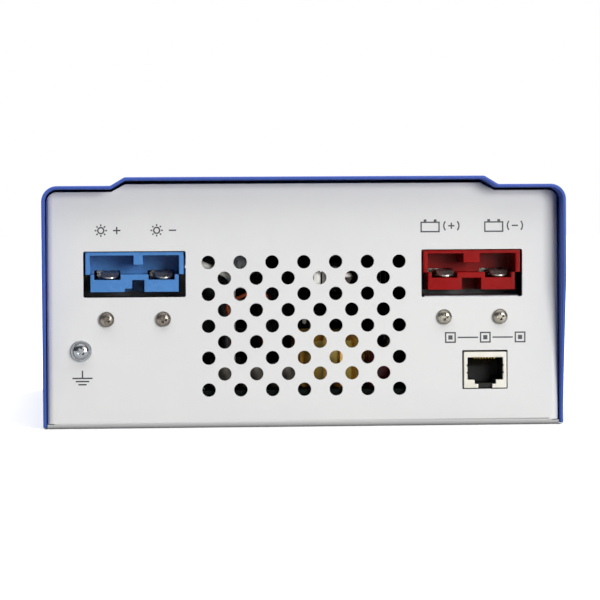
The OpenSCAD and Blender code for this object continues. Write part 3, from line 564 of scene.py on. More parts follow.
@dataclass(frozen=True)
class Ink(Recipe):
    """Screen-printed ink, slightly thin in places."""

    colour: str
    thin: str
    wear: float = 500.0
    wear_share: float = 0.45
    roughness: float = 0.45
    peel: float = 2500.0
    peel_depth: float = 0.004

    def paint(self, shade: Shade) -> None:
        """Sets the shader.

        Args:
            shade: Node tree of the new material.
        """
        wear = shade.effect(Effect.MOTTLE, self.wear)
        worn = shade.maths("MULTIPLY", wear, self.wear_share)
        shade.set(Base_Color=shade.blend(worn, rgb(self.colour), rgb(self.thin)))
        shade.set(Roughness=self.roughness)
        shade.bump(shade.effect(Effect.PEEL, self.peel), self.peel_depth)


class Finish(Enum):
    """Every finish on the object."""

    CASE = PowderCoat("chassis_powder", "light_grey_powder", "#dededd", "#dadada", (0.42, 0.55))
    COVER = PowderCoat("cover_paint", "blue_powder", "#294ba3", "#27489e", (0.58, 0.62))
    ZINC = Metal("zinc_steel", "zinc_plate", "#c6c9cc", "#8f9296", (0.25, 0.42))
    WASHER = Metal("zinc_steel", "bright_zinc", "#909396", "#5a5d60", (0.1, 0.22))
    WORN = Metal("dark_screws", "worn_nickel", "#78716a", "#37312b", (0.2, 0.42), depth=0.02)
    NICKEL = Metal("bright_screws", "bright_nickel", "#8f8b81", "#5b574f", (0.22, 0.34), depth=0.01)
    WINDOW = Clear("window_glass", "tinted_window", "#aab4b8")
    BEZEL = Moulding("lcd_bezel", "display_frame", "#17191b", "#121416")
    LCD = Moulding("lcd_bezel", "display_glass", "#8c9a86", "#87957f", (0.12, 0.2), 0.002)
    GHOST = Ink("lcd_bezel", "display_segment_off", "#7d8b77", "#808e7a")
    BOARD = SolderMask("board_green", "solder_mask", "#030806", "#05100b")
    BRASS = Metal("brass_plain", "machined_brass", "#cfae62", "#a5853f", (0.2, 0.36))
    KEY = Moulding("key_plastic", "key_cap", "#24272b", "#1e2124", (0.42, 0.55), 0.03)
    KEY_MARK = Ink("key_plastic", "key_mark", "#e8e8e4", "#c9c9c4")
    COVER_MARK = Ink("cover_paint", "cover_mark", "#eceef2", "#cfd4de")
    PANEL_MARK = Ink("chassis_powder", "panel_mark", "#232428", "#3c3d42")
    OVERLAY = Moulding("cover_paint", "overlay_film", "#1a1e27", "#171b23", (0.35, 0.45), 0.012)
    SWITCH = Moulding("switch_plastic", "switch_body", "#33363a", "#2c2f33")
    LENS = Moulding("light_plastic", "light_lens", "#e2efe0", "#d2e2d0", (0.1, 0.16), 0.002, 0.5)
    # The ribbon's second colour is painted shade in the grooves between its cores.
    RIBBON = RibbonJacket("ribbon_grey", "ribbon_jacket", "#3a3b3e", "#1d1e20", "#2c1c1c")
    HEADER = Moulding("header_plastic", "header_body", "#17181a", "#131415")
    CHIP = Moulding("chip_plastic", "moulded_epoxy", "#1d1e20", "#161718", (0.45, 0.6), 0.04)
    CAN = Metal("can_aluminium", "capacitor_can", "#c9cbce", "#9c9fa3", (0.2, 0.34), (1, 1, 0.05))
    SLEEVE = Moulding("sleeve_plastic", "shrunk_sleeve", "#22253f", "#1a1c33", (0.2, 0.3), 0.004)
    SLEEVE_BAND = Moulding("sleeve_plastic", "sleeve_band", "#c9cad0", "#b9bac2", (0.2, 0.3), 0.004)
    CORE = Moulding("core_coat", "core_coat", "#ffcf5e", "#d9a645", (0.35, 0.5), 0.05)
    FILM = Moulding("film_plastic", "film_capacitor_case", "#64131f", "#540f19", (0.25, 0.36),
                    0.01, 0.0, 0.15)
    ENAMEL = Metal("winding_copper", "enamelled_wire", "#f4bc54", "#bd8d3c", (0.25, 0.4),
                   metallic=0.3)
    FUSE = Moulding("fuse_plastic", "fuse_body", "#26302a", "#1f2823", (0.14, 0.22), 0.004)
    EXTRUSION = Metal("sink_aluminium", "black_anodised", "#2b2c2e", "#1c1d1f", (0.34, 0.5),
                      (1, 0.02, 1), 0.01)
    EPOXY = Moulding("transistor_epoxy", "device_epoxy", "#1b1c1e", "#151617", (0.45, 0.6), 0.04)
    TIN = Metal("lug_tin", "tin_plate", "#cfd1d3", "#a3a5a8", (0.2, 0.36))
    DULL_TIN = Metal("lug_tin", "dull_tin", "#55565a", "#3b3c3f", (0.35, 0.5))
    BLOCK = Metal("brass_plain", "black_nickel", "#3a3834", "#24221f", (0.3, 0.45))
    DULL_CAN = Metal("can_aluminium", "dull_can", "#6d6862", "#55504a", (0.45, 0.6), metallic=0.5)
    NYLON = Moulding("header_plastic", "white_nylon", "#f0efea", "#e4e2da", (0.35, 0.45), 0.01, 0.2)
    # Black of the sheet in the gaps round the connector tongues: painted shade.
    SHADE_SHEET = Rubber("cable_rubber", "painted_shade_black", "#101114", "#1b1c20")
    ORANGE = Rubber("cable_rubber", "orange_jacket", "#d8551c", "#c96a3a")
    WHITE_JACKET = Rubber("cable_rubber", "white_jacket", "#f2f0ea", "#e2ded4")
    PAD = Rubber("strip_rubber", "thermal_pad", "#8f8ba3", "#b0adbd")
    BLUE = Moulding("housing_blue", "blue_polycarbonate", "#5088c8", "#4a80be", (0.24, 0.32),
                    0.006, 0.1, 0.15)
    RED = Moulding("housing_red", "red_polycarbonate", "#970606", "#8b0505", (0.2, 0.27),
                   0.006, 0.1, 0.08)
    SILVER = Metal("contact_silver", "silver_plate", "#d4d1ca", "#958e82", (0.2, 0.3),
                   metallic=0.85)
    SPRING = Metal("spring_steel", "spring_strip", "#aeb1b4", "#7c7f82", (0.2, 0.34))
    BLACK_ZINC = Metal("bracket_dark", "black_zinc", "#4a4c4f", "#36383a", (0.34, 0.5))
    PALE_ZINC = Metal("bracket_light", "pale_zinc", "#bcc0c4", "#8b8f94", (0.28, 0.44))
    RED_JACKET = Rubber("cable_rubber", "red_jacket", "#b32a1c", "#c45a4b")
    BLACK_JACKET = Rubber("cable_rubber", "black_jacket", "#161617", "#3a3a3b")
    CREAM = Moulding("jack_cream", "cream_moulding", "#e9e6dc", "#dfdbcf", (0.3, 0.42), 0.015, 0.2)
    JACK_CORE = Moulding("jack_black", "black_moulding", "#2a2a2a", "#232323", (0.4, 0.5),
                         0.01, 0.0, 0.08)
    GOLD = Metal("contact_gold", "gold_flash", "#d8b25c", "#b48c3d", (0.12, 0.24))
    FAN = Moulding("fan_plastic", "glass_filled", "#1b1c1f", "#151619", (0.38, 0.52), 0.04)
    FOIL = Metal("fan_plastic", "hub_foil", "#c9cbce", "#aeb1b5", (0.3, 0.4))

    @property
    def slot(self) -> str:
        """Material slot of the record."""
        return self.value.slot

    @property
    def material(self) -> bpy.types.Material:
        """The finish's material, built at the first call."""
        return bpy.data.materials.get(self.value.name) or self.value.build()


# ---- Shapes ----


def spun(profile: Sequence[Point], steps: int = 32, closed: bool = False,
         sweep: float = math.tau) -> Shape:
    """Spins a profile round Z.

    Args:
        profile: Radius and height of each point.
        steps: Number of faces round the axis.
        closed: Whether the last point joins the first, as for a ring.
        sweep: Angle of the spin. Ends that it leaves open are filled.

    Returns:
        A closed shape with its normals outwards.
    """
    bm = bmesh.new()
    verts = [bm.verts.new((r, 0, z)) for r, z in profile]
    pairs = list(zip(verts, verts[1:]))
    if closed:
        pairs.append((verts[-1], verts[0]))
    edges = [bm.edges.new(pair) for pair in pairs]
    whole = sweep >= math.tau
    bmesh.ops.spin(bm, geom=verts + edges, axis=(0, 0, 1), cent=(0, 0, 0), steps=steps,
                   angle=sweep, use_merge=whole)
    bmesh.ops.remove_doubles(bm, verts=bm.verts, dist=1e-4)
    if not whole:
        bmesh.ops.holes_fill(bm, edges=[e for e in bm.edges if e.is_boundary], sides=0)
    bmesh.ops.recalc_face_normals(bm, faces=bm.faces)
    return bm


def slab(size: Sequence[float], centre: Sequence[float], edge: float = 0.0) -> Shape:
    """Makes a block.

    Args:
        size: Length along each axis.
        centre: Middle of the block.
        edge: Width of the round on its edges.

    Returns:
        The block.
    """
    bm = bmesh.new()
    bmesh.ops.create_cube(bm, size=1.0)
    bmesh.ops.scale(bm, vec=Vector(size), verts=bm.verts)
    bmesh.ops.translate(bm, vec=Vector(centre), verts=bm.verts)
    if edge:
        soften(bm, bm.edges, edge, 2)
    return bm


def soften(bm: Shape, edges: Iterable[bmesh.types.BMEdge], width: float, segments: int) -> None:
    """Rounds edges of a shape."""
    bmesh.ops.bevel(bm, geom=edges, offset=width, offset_type="OFFSET", segments=segments,
                    profile=0.5, affect="EDGES", material=-1)


def plate(size: Spot, centre: Spot, radius: float) -> Shape:
    """Makes a flat block with round corners.

    Args:
        size: Length along each axis.
        centre: Middle of the block.
        radius: Radius of the corners.

    Returns:
        The block.
    """
    bm = slab(size, centre)
    upright = [edge for edge in bm.edges
               if abs(edge.verts[0].co.z - edge.verts[1].co.z) > size[2] / 2]
    soften(bm, upright, radius, 6)
    return bm


def prism(corners: int, radius: float, height: float, foot: Spot = (0, 0, 0),
          turn: float = 0.0) -> Shape:
    """Makes a regular prism or a round disc that stands on its foot.

    Args:
        corners: Number of corners.
        radius: Radius of the circle through them.
        height: Height along Z.
        foot: Middle of its lower face.
        turn: Angle round Z.

    Returns:
        The prism.
    """
    bm = bmesh.new()
    place = Matrix.Translation((foot[0], foot[1], foot[2] + height / 2)) @ turned(turn)
    bmesh.ops.create_cone(bm, cap_ends=True, segments=corners, radius1=radius, radius2=radius,
                          depth=height, matrix=place)
    return bm


def stamp(target: Shape, part: Shape, place: Matrix = Matrix()) -> None:
    """Adds a copy of a shape to another one.

    Args:
        target: Shape that grows.
        part: Shape that is copied.
        place: Moves the copy.
    """
    mesh = bpy.data.meshes.new("stamp")
    part.to_mesh(mesh)
    mesh.transform(place)
    target.from_mesh(mesh)
    bpy.data.meshes.remove(mesh)


def carved(blank: Shape, cutters: Iterable[Shape]) -> Shape:
    """Cuts shapes out of another one.

    Args:
        blank: Shape that is cut.
        cutters: Shapes that are taken away.

    Returns:
        What is left.
    """
    def held(bm: Shape) -> bpy.types.Object:
        """Puts a shape on a passing object.

        Args:
            bm: The shape.

        Returns:
            The object.
        """
        mesh = bpy.data.meshes.new("passing")
        bm.to_mesh(mesh)
        return linked("passing", mesh)

    work = held(blank)
    tools = [held(cutter) for cutter in cutters]
    for tool in tools:
        cut = work.modifiers.new("cut", "BOOLEAN")
        cut.object, cut.operation, cut.solver = tool, "DIFFERENCE", "EXACT"
    graph = bpy.context.evaluated_depsgraph_get()
    result = bmesh.new()
    result.from_mesh(work.evaluated_get(graph).to_mesh())
    for thing in [work, *tools]:
        mesh = thing.data
        bpy.data.objects.remove(thing)
        bpy.data.meshes.remove(mesh)
    return result


def merged_copy(node: str, cut: bool = False) -> Shape:
    """Copies a CAD node's mesh in millimetres, with its triangles joined into whole faces.

    Args:
        node: Name of the node.
        cut: Cuts the whole faces into quads and triangles again. A flat with many holes in it
            takes a round only when it is cut.

    Returns:
        The copy.
    """
    bm = bmesh.new()
    bm.from_mesh(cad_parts[node].data)
    bmesh.ops.remove_doubles(bm, verts=bm.verts, dist=MERGE)
    bmesh.ops.dissolve_limit(bm, angle_limit=math.radians(0.3), verts=bm.verts, edges=bm.edges,
                             delimit=set())
    bmesh.ops.scale(bm, vec=(1 / MM,) * 3, verts=bm.verts)
    if cut:
        many = [face for face in bm.faces if len(face.verts) > 4]
        made = bmesh.ops.triangulate(bm, faces=many, quad_method="BEAUTY", ngon_method="BEAUTY")
        bmesh.ops.join_triangles(bm, faces=made["faces"], angle_face_threshold=0.01,
                                 angle_shape_threshold=1.2)
    return bm


def islands(bm: Shape) -> list[list[bmesh.types.BMFace]]:
    """Splits the faces of a shape into groups that hang together.

    Args:
        bm: Shape with its doubles merged.

    Returns:
        The groups, sorted by the lowest X, Y and Z of each.
    """
    seen: set[int] = set()
    groups = []
    bm.faces.index_update()
    for start in bm.faces:
        if start.index in seen:
            continue
        seen.add(start.index)
        stack, group = [start], []
        while stack:
            face = stack.pop()
            group.append(face)
            for other in (f for e in face.edges for f in e.link_faces):
                if other.index not in seen:
                    seen.add(other.index)
                    stack.append(other)
        groups.append(group)
    return sorted(groups, key=lambda group: tuple(round(c, 2) for c in reach(group).low))


def reach(faces: Iterable[bmesh.types.BMFace]) -> Box:
    """Gives the extent of a group of faces."""
    points = [v.co for face in faces for v in face.verts]
    return Box(Vector(map(min, zip(*points))), Vector(map(max, zip(*points))))


def solids(node: str) -> list[Box]:
    """Gives the extent of each separate solid of a CAD node, sorted by X, Y and Z."""
    bm = merged_copy(node)
    return [reach(group) for group in islands(bm)]


# ---- Publishing ----


@dataclass(frozen=True)
class Rounding:
    """Small round on the sharp edges of a piece, in millimetres."""

    width: float
    segments: int
    angle: float = 35.0
    cut: bool = False

    def put_on(self, piece: bpy.types.Object) -> None:
        """Adds the modifiers that make the round.

        Args:
            piece: Piece that is rounded.
        """
        bevel = piece.modifiers.new("round", "BEVEL")
        bevel.width, bevel.segments = self.width * MM, self.segments
        bevel.limit_method, bevel.angle_limit = "ANGLE", math.radians(self.angle)
        bevel.use_clamp_overlap = bevel.loop_slide = False
        bevel.miter_outer = "MITER_ARC"
        piece.modifiers.new("normals", "WEIGHTED_NORMAL").keep_sharp = True


# Angle and cut of a round on flats with holes in them.
HOLED = (35.0, True)


def publish(bm: Shape, name: str, finish: Finish, body: str = "case",
            nodes: Sequence[str] = (), rounding: Rounding | None = None,
            extra: Sequence[Finish] = (), smooth_under: float = 30.0) -> None:
    """Makes a shape a piece of the object.

    Args:
        bm: Shape in millimetres and in place. It is freed.
        name: Name of the piece.
        finish: Finish of the piece.
        body: Body of the frame that it rides on.
        nodes: CAD nodes that it stands for.
        rounding: Round on its edges, if any.
        extra: Further finishes, for faces whose material index is above 0.
        smooth_under: Edges flatter than this angle in degrees are shaded smooth.
    """
    bmesh.ops.scale(bm, vec=(MM,) * 3, verts=bm.verts)
    for face in bm.faces:
        face.smooth = True
    mesh = bpy.data.meshes.new(name)
    bm.to_mesh(mesh)
    bm.free()
    for look in (finish, *extra):
        mesh.materials.append(look.material)
    piece = linked(name, mesh)
    if rounding:
        rounding.put_on(piece)
    else:
        mesh.set_sharp_from_angle(angle=math.radians(smooth_under))
    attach(piece, body)
    finish.slot
    if nodes:
        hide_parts(*nodes)
    LOG.info("%s: %d faces", name, len(mesh.polygons))


def refine(node: str, finish: Finish, *, smooth_under: float = 30.0, body: str = "case",
           rounding: Rounding | None = None, extra: Sequence[Finish] = (),
           choose: Callable[[Vector], int] | None = None) -> None:
    """Replaces a CAD node by a copy with its finish.

    Args:
        node: Name of the node.
        finish: Finish of the piece.
        smooth_under: Edges flatter than this angle are shaded smooth, where there is no round.
        body: Body that it rides on.
        rounding: Round on its edges, if any.
        extra: Further finishes.
        choose: Gives the number of the finish for a face, from the face's middle.
    """
    bm = merged_copy(node, bool(rounding and rounding.cut))
    if choose:
        for face in bm.faces:
            face.material_index = choose(face.calc_center_bounds())
    publish(bm, f"{node}_finished", finish, body, (node,), rounding, extra, smooth_under)


def refine_all(*rows: tuple) -> None:
    """Refines CAD nodes, each with a round.

    Args:
        rows: For each node its name and finish, and the values of its round.
    """
    for node, finish, *values in rows:
        refine(node, finish, rounding=Rounding(*values))


# ---- Printed marks ----


class MarkSheet:
    """Marks printed on one flat face, drawn in X and Y with a small thickness along Z."""

    def __init__(self, thickness: float = 0.03, sunk: float = 0.02) -> None:
        """Starts an empty sheet.

        Args:
            thickness: How far the ink stands out of the face.
            sunk: How far it reaches into the face.
        """
        self.bm = bmesh.new()
        self.sunk = sunk
        self.depth = thickness + sunk

    def put(self, part: Shape, centre: Point, turn: float = 0.0) -> None:
        """Stamps a shape that stands on the XY plane, moved and turned."""
        stamp(self.bm, part, Matrix.Translation((*centre, -self.sunk)) @ turned(turn))

    def ray(self, centre: Point, turn: float, start: float, end: float, width: float) -> None:
        """Draws a straight line that points away from a centre.

        Args:
            centre: Point that the line would meet.
            turn: Angle of the line.
            start: Distance of its first end from the centre.
            end: Distance of its last end.
            width: Width of the line.
        """
        size, middle = (end - start, width, self.depth), ((start + end) / 2, 0, self.depth / 2)
        self.put(slab(size, middle), centre, turn)

    def dash(self, centre: Point, length: float, width: float, upright: bool = False) -> None:
        """Draws a level or an upright line round its middle."""
        self.ray(centre, QUARTER if upright else 0.0, -length / 2, length / 2, width)

    def disc(self, centre: Point, radius: float, corners: int = 24, turn: float = 0.0) -> None:
        """Draws a filled circle, or a regular polygon with few corners."""
        self.put(prism(corners, radius, self.depth), centre, turn)

    def arc(self, centre: Point, radius: float, width: float, start: float = 0.0,
            sweep: float = math.tau) -> None:
        """Draws a ring, or a part of it.

        Args:
            centre: Middle of the ring.
            radius: Radius of the line's middle.
            width: Width of the line.
            start: Angle at which the line starts.
            sweep: Angle over which it runs.
        """
        inner, outer = radius - width / 2, radius + width / 2
        profile = [(inner, 0), (outer, 0), (outer, self.depth), (inner, self.depth)]
        self.put(spun(profile, 24, True, sweep), centre, start)

    def frame_lines(self, centre: Point, size: Point, width: float) -> None:
        """Draws the outline of a rectangle.

        Args:
            centre: Middle of the rectangle.
            size: Its width and height, to the middle of the lines.
            width: Width of the lines.
        """
        (x, y), (w, h) = centre, size
        for side in (-1, 1):
            self.dash((x, y + side * h / 2), w + width, width)
            self.dash((x + side * w / 2, y), h - width, width, True)

    def plus(self, centre: Point, size: float, width: float) -> None:
        """Draws a plus sign.

        Args:
            centre: Middle of the sign.
            size: Its width and height.
            width: Width of the lines.
        """
        self.minus(centre, size, width)
        for side in (-1, 1):
            middle = centre[1] + side * (size + width) / 4
            self.dash((centre[0], middle), (size - width) / 2, width, True)

    def minus(self, centre: Point, size: float, width: float) -> None:
        """Draws a minus sign."""
        self.dash(centre, size, width)

    def sun(self, centre: Point, size: float, width: float) -> None:
        """Draws a small sun: a ring with eight rays.

        Args:
            centre: Middle of the sun.
            size: Its width.
            width: Width of the lines.
        """
        self.arc(centre, size * 0.24, width)
        for i in range(8):
            self.ray(centre, i * math.pi / 4, size * 0.35, size * 0.5, width)

    def battery(self, centre: Point, size: float, width: float) -> None:
        """Draws a small battery: a case with two poles.

        Args:
            centre: Middle of the battery.
            size: Its width.
            width: Width of the lines.
        """
        x, y = centre
        foot, top = y + size * 0.2 + width / 2, y + size * 0.36
        self.frame_lines((x, y - size * 0.06), (size, size * 0.52), width)
        for side in (-1, 1):
            self.dash((x + side * size * 0.28, (foot + top) / 2), top - foot, size * 0.16, True)

    def publish(self, name: str, finish: Finish, place: Matrix, body: str = "case") -> None:
        """Puts the sheet on its face and makes it a piece."""
        bmesh.ops.transform(self.bm, matrix=place, verts=self.bm.verts)
        publish(self.bm, name, finish, body)


# ---- Fasteners ----


@dataclass(frozen=True)
class MachineScrew:
    """A screw with a cross recess, drawn with its seat at the origin and its head towards +Z."""

    thread_d: float = 3.0
    head_d: float = 5.5
    head_h: float = 2.2
    pitch: float = 0.5
    sunk: bool = False
    steps: int = 28
    dome_steps: int = 6
    arm: Point = (0.66, 0.19)
    arm_taper: Spot = (0.5, 0.7, 1.0)

    def head(self) -> list[Point]:
        """Draws the head.

        Returns:
            Its profile from the middle of its top down to the shank.
        """
        r, h = self.head_d / 2, self.head_h
        if self.sunk:
            return [(0, 0), (r * 0.92, 0), (r - 0.05, -0.06), (self.thread_d / 2, -h)]
        dome = [(r * 0.93 * math.sin(a), h * (0.56 + 0.44 * math.cos(a)))
                for a in (i * QUARTER / self.dome_steps for i in range(self.dome_steps + 1))]
        return [*dome, (r * 0.985, h * 0.3), (r, h * 0.16), (r * 0.975, 0.05), (r * 0.95, 0)]

    def thread(self, length: float) -> list[Point]:
        """Draws the threaded shank.

        Args:
            length: Length of the screw.

        Returns:
            Its profile down to the tip.
        """
        crest, plain = self.thread_d / 2 - 0.06, 0.4
        root = crest - self.pitch * 0.54
        start = self.head_h if self.sunk else 0.0
        points = [(crest, -start), (crest, -start - plain)]
        for i in range(int((length - start - 1) / self.pitch)):
            top = -start - plain - i * self.pitch
            points += [(root, top - self.pitch * 0.45), (crest, top - self.pitch * 0.9)]
        return [*points, (root, -length + 0.15), (root * 0.8, -length), (0, -length)]

    def recess(self) -> list[Shape]:
        """Makes the cross recess.

        Returns:
            Its two tapered arms.
        """
        top = 0.0 if self.sunk else self.head_h
        depth = self.head_h * (0.7 if self.sunk else 0.8)
        arms = []
        for turn in (0.0, QUARTER):
            length, width = (self.head_d * share for share in self.arm)
            bm = slab((length, width, depth * 2), (0, 0, top))
            low = [v for v in bm.verts if v.co.z < top]
            bmesh.ops.scale(bm, vec=self.arm_taper, verts=low)
            bmesh.ops.transform(bm, matrix=turned(turn), verts=bm.verts)
            arms.append(bm)
        return arms

    def shape(self, length: float) -> Shape:
        """Makes the screw with its recess. The length of a sunk one counts from its top."""
        profile = [*self.head(), *self.thread(length)]
        return carved(spun(profile, self.steps), self.recess())


def fit_screws(node: str, facing: Facing | None = None, screw: MachineScrew = MachineScrew(),
               finish: Finish = Finish.ZINC) -> None:
    """Replaces the plain screws of a CAD node by one piece with detailed ones.

    Args:
        node: Node of the plain screws.
        facing: Way that the heads point. None is sideways, away from the middle.
        screw: Kind of screw.
        finish: Finish of the screws.
    """
    bm = bmesh.new()
    shapes: dict[float, Shape] = {}
    turns = random.Random(len(node))
    for box in solids(node):
        way = facing or (Facing.RIGHT if box.centre.x > 0 else Facing.LEFT)
        extent = abs(box.size @ way.axis)
        raised = 0 if screw.sunk else screw.head_h
        length = round(extent - raised, 2)
        if length not in shapes:
            shapes[length] = screw.shape(length)
        head = box.centre + way.axis * (extent / 2 - raised)
        spin = turned(turns.uniform(0, QUARTER))
        stamp(bm, shapes[length], Matrix.Translation(head) @ way.turn @ spin)
    publish(bm, f"{node}_cut", finish, nodes=(node,), smooth_under=38.0)


# ---- Case ----


@dataclass
class Case:
    """The folded chassis and cover, and what is printed on the connection end."""

    line: float = 0.5
    sign: float = 2.6
    sun: float = 4.4
    battery: float = 6.4
    sun_offsets: Point = (-2.4, 3.2)
    battery_offsets: Point = (-3.6, 4.0)
    brackets: tuple[Point, ...] = ((-0.2, 0.78), (0.2, -0.22))
    bracket_r: float = 2.5
    bracket_sweep: float = 0.44
    enclosed_share: float = 0.85
    solar_labels: tuple[Point, ...] = ((-69.4, 70.1), (-49.7, 70.1))
    battery_labels: tuple[Point, ...] = ((48.7, 71.1), (71.5, 71.1))
    data_label_rise: float = 5.2
    data_box: float = 3.4
    data_step: float = 12.5
    data_dot_share: float = 0.45
    data_gap: float = 1.8
    earth_drop: float = 7.5
    earth_bars: tuple[float, ...] = (7.1, 4.8, 2.9)
    earth_side: float = 0.45
    earth_stem: Point = (2.15, 0.6)
    earth_step: float = 1.12

    def build(self) -> None:
        """Builds every piece of the case."""
        refine("chassis", Finish.CASE, smooth_under=35.0)
        refine_all(("cover", Finish.COVER, 0.4, 3, 30.0))
        fit_screws("cover_screws", screw=MachineScrew(head_h=1.2, sunk=True))
        sheet = MarkSheet()
        self.power_labels(sheet)
        self.data_label(sheet)
        self.earth_symbol(sheet)
        place = Matrix.Translation((0, Box.of("chassis").low.y, 0)) @ Facing.FRONT.turn
        sheet.publish("panel_marks", Finish.PANEL_MARK, place)

    def power_labels(self, sheet: MarkSheet) -> None:
        """Draws suns with signs, and batteries with signs in round brackets.

        Args:
            sheet: Sheet of the panel.
        """
        signs = (sheet.plus, sheet.minus)
        to_symbol, to_sign = self.sun_offsets
        for (x, y), sign in zip(self.solar_labels, signs):
            sheet.sun((x + to_symbol, y), self.sun, self.line)
            sign((x + to_sign, y), self.sign, self.line)
        to_symbol, to_sign = self.battery_offsets
        for (x, y), sign in zip(self.battery_labels, signs):
            sheet.battery((x + to_symbol, y), self.battery, self.line)
            for side, start in self.brackets:
                sheet.arc((x + to_sign + side, y), self.bracket_r, self.line, start * math.pi,
                          self.bracket_sweep * math.pi)
            sign((x + to_sign, y), self.sign * self.enclosed_share, self.line)

    def data_label(self, sheet: MarkSheet) -> None:
        """Draws three small boxes on one line over the data jack.

        Args:
            sheet: Sheet of the panel.
        """
        jack, size, step = Box.of("data_jack_body"), self.data_box, self.data_step
        x, y, dot = jack.centre.x, jack.high.z + self.data_label_rise, size * self.data_dot_share
        for i in (-1, 0, 1):
            sheet.frame_lines((x + i * step, y), (size, size), self.line)
            sheet.dash((x + i * step, y), dot, dot)
        for side in (-1, 1):
            sheet.dash((x + side * step / 2, y), step - size - self.data_gap, self.line)

    def earth_symbol(self, sheet: MarkSheet) -> None:
        """Draws the earth symbol under the earth screw.

        Args:
            sheet: Sheet of the panel.
        """
        screw = Box.of("earth_screw").centre
        x, top = screw.x + self.earth_side, screw.z - self.earth_drop
        first, upper = top - self.earth_stem[0], top + self.earth_stem[1]
        lower = first + self.line / 2
        sheet.dash((x, (upper + lower) / 2), upper - lower, self.line, True)
        for i, width in enumerate(self.earth_bars):
            sheet.dash((x, first - i * self.earth_step), width, self.line)


# ---- Connections ----


@dataclass
class PowerConnector:
    """One two-pole connector with its contacts, springs, bracket, screws and cables."""

    prefix: str
    shell: Finish
    bracket: Finish
    screws: Finish
    jackets: tuple[Finish, Finish]
    shade_sheet_t: float = 0.8
    shade_sheet_side: float = 2.6
    shade_sheet_low: float = 1.6
    shade_sheet_gap: float = 0.1
    hood_l: float = 17.0

    def build(self) -> None:
        """Builds every piece of the connector."""
        refine_all((f"{self.prefix}_housing", self.shell, 0.15, 2, *HOLED),
                   (f"{self.prefix}_contacts", Finish.SILVER, 0.08, 2, 40.0, True),
                   (f"{self.prefix}_springs", Finish.SPRING, 0.08, 1, 40.0),
                   (f"{self.prefix}_bracket", self.bracket, 0.15, 2))
        fit_screws(f"{self.prefix}_bracket_screws", Facing.FRONT, finish=self.screws)
        self.cables()
        self.shade_sheet()

    def cables(self) -> None:
        """Gives the positive and the negative cable each its jacket."""
        node = f"{self.prefix}_cables"
        bm = merged_copy(node)
        for number, cable in enumerate(islands(bm)):
            for face in cable:
                face.material_index = number
        publish(bm, f"{node}_jackets", self.jackets[0], nodes=(node,), extra=self.jackets[1:],
                smooth_under=60.0)

    def shade_sheet(self) -> None:
        """Puts a black sheet on the body's face, beside and below the tongue: painted shade in the
        gaps round it.
        """
        body, t = Box.of(f"{self.prefix}_housing"), self.shade_sheet_t
        side, low = self.shade_sheet_side, self.shade_sheet_low
        y, shoulder = body.low.y + self.hood_l - t / 2, body.low.z + low
        middle = body.centre.z - self.shade_sheet_gap
        # Painted shade: the sheet darkens the recesses beside and below the tongue.
        bm = slab((body.size.x, t, low), (body.centre.x, y, body.low.z + low / 2))
        for x in (body.low.x + side / 2, body.high.x - side / 2):
            stamp(bm, slab((side, t, middle - shoulder), (x, y, (middle + shoulder) / 2)))
        publish(bm, f"{self.prefix}_seal", Finish.SHADE_SHEET)


@dataclass
class DataJack:
    """The eight-pole data jack beside the board's edge."""

    def build(self) -> None:
        """Builds the shell, the core and the contacts of the jack."""
        refine_all(("data_jack_body", Finish.CREAM, 0.2, 3, *HOLED),
                   ("data_jack_core", Finish.JACK_CORE, 0.1, 2, *HOLED),
                   ("data_jack_contacts", Finish.GOLD, 0.06, 2))


@dataclass
class EarthTerminal:
    """The earth screw with its flat washer and its split spring washer."""

    flat_t: float = 0.6
    spring_t: float = 0.75
    spring_d: float = 6.3
    bore: float = 3.3
    gap: float = math.radians(14)
    gap_turn: float = math.radians(205)
    rise: float = 0.16

    def build(self) -> None:
        """Builds the screw and both washers."""
        fit_screws("earth_screw", Facing.FRONT, MachineScrew(head_d=6.1), Finish.WASHER)
        box = Box.of("earth_washers")
        place = Matrix.Translation((box.centre.x, box.high.y, box.centre.z)) @ Facing.FRONT.turn
        bm = self.flat_washer(box.size.x / 2)
        stamp(bm, self.spring_washer(), turned(self.gap_turn))
        bmesh.ops.transform(bm, matrix=place, verts=bm.verts)
        publish(bm, "earth_washer_pair", Finish.WASHER, nodes=("earth_washers",), smooth_under=35.0)

    def flat_washer(self, radius: float) -> Shape:
        """Makes the flat washer with its punched edge.

        Args:
            radius: Outer radius.

        Returns:
            The washer.
        """
        inner, t = self.bore / 2, self.flat_t
        profile = [(inner, 0), (radius - 0.1, 0), (radius, 0.12), (radius, t - 0.12),
                   (radius - 0.15, t), (inner + 0.1, t), (inner, t - 0.1)]
        return spun(profile, 48, True)

    def spring_washer(self) -> Shape:
        """Makes the split washer, whose ends stand apart by a small rise.

        Returns:
            The washer.
        """
        inner, outer, low = self.bore / 2, self.spring_d / 2, self.flat_t
        high = low + self.spring_t - self.rise
        bm = spun([(inner, low), (outer, low), (outer, high), (inner, high)], 40, True,
                  math.tau - self.gap)
        for vert in bm.verts:
            if vert.co.z >= low + 0.01:
                vert.co.z += self.rise * (math.atan2(vert.co.y, vert.co.x) % math.tau / math.tau)
        return bm


# ---- Display panel ----


class Key(Enum):
    """The keys under the display, by the names of their nodes and bodies."""

    MENU = "menu_key"
    DOWN = "down_key"
    UP = "up_key"
    ENTER = "enter_key"

    def draw(self, sheet: MarkSheet) -> None:
        """Draws lines for the menu, triangles for down and up, and a ring for enter.

        Args:
            sheet: Sheet with the middle of the key at its origin.
        """
        if self is Key.MENU:
            for level in (-1.15, 0, 1.15):
                sheet.dash((0, level), 3.4, 0.5)
        elif self is Key.ENTER:
            sheet.arc((0, 0), 1.55, 0.45)
            sheet.disc((0, 0), 0.6)
        else:
            side = 1 if self is Key.UP else -1
            sheet.disc((0, -0.35 * side), 1.9, 3, side * QUARTER)


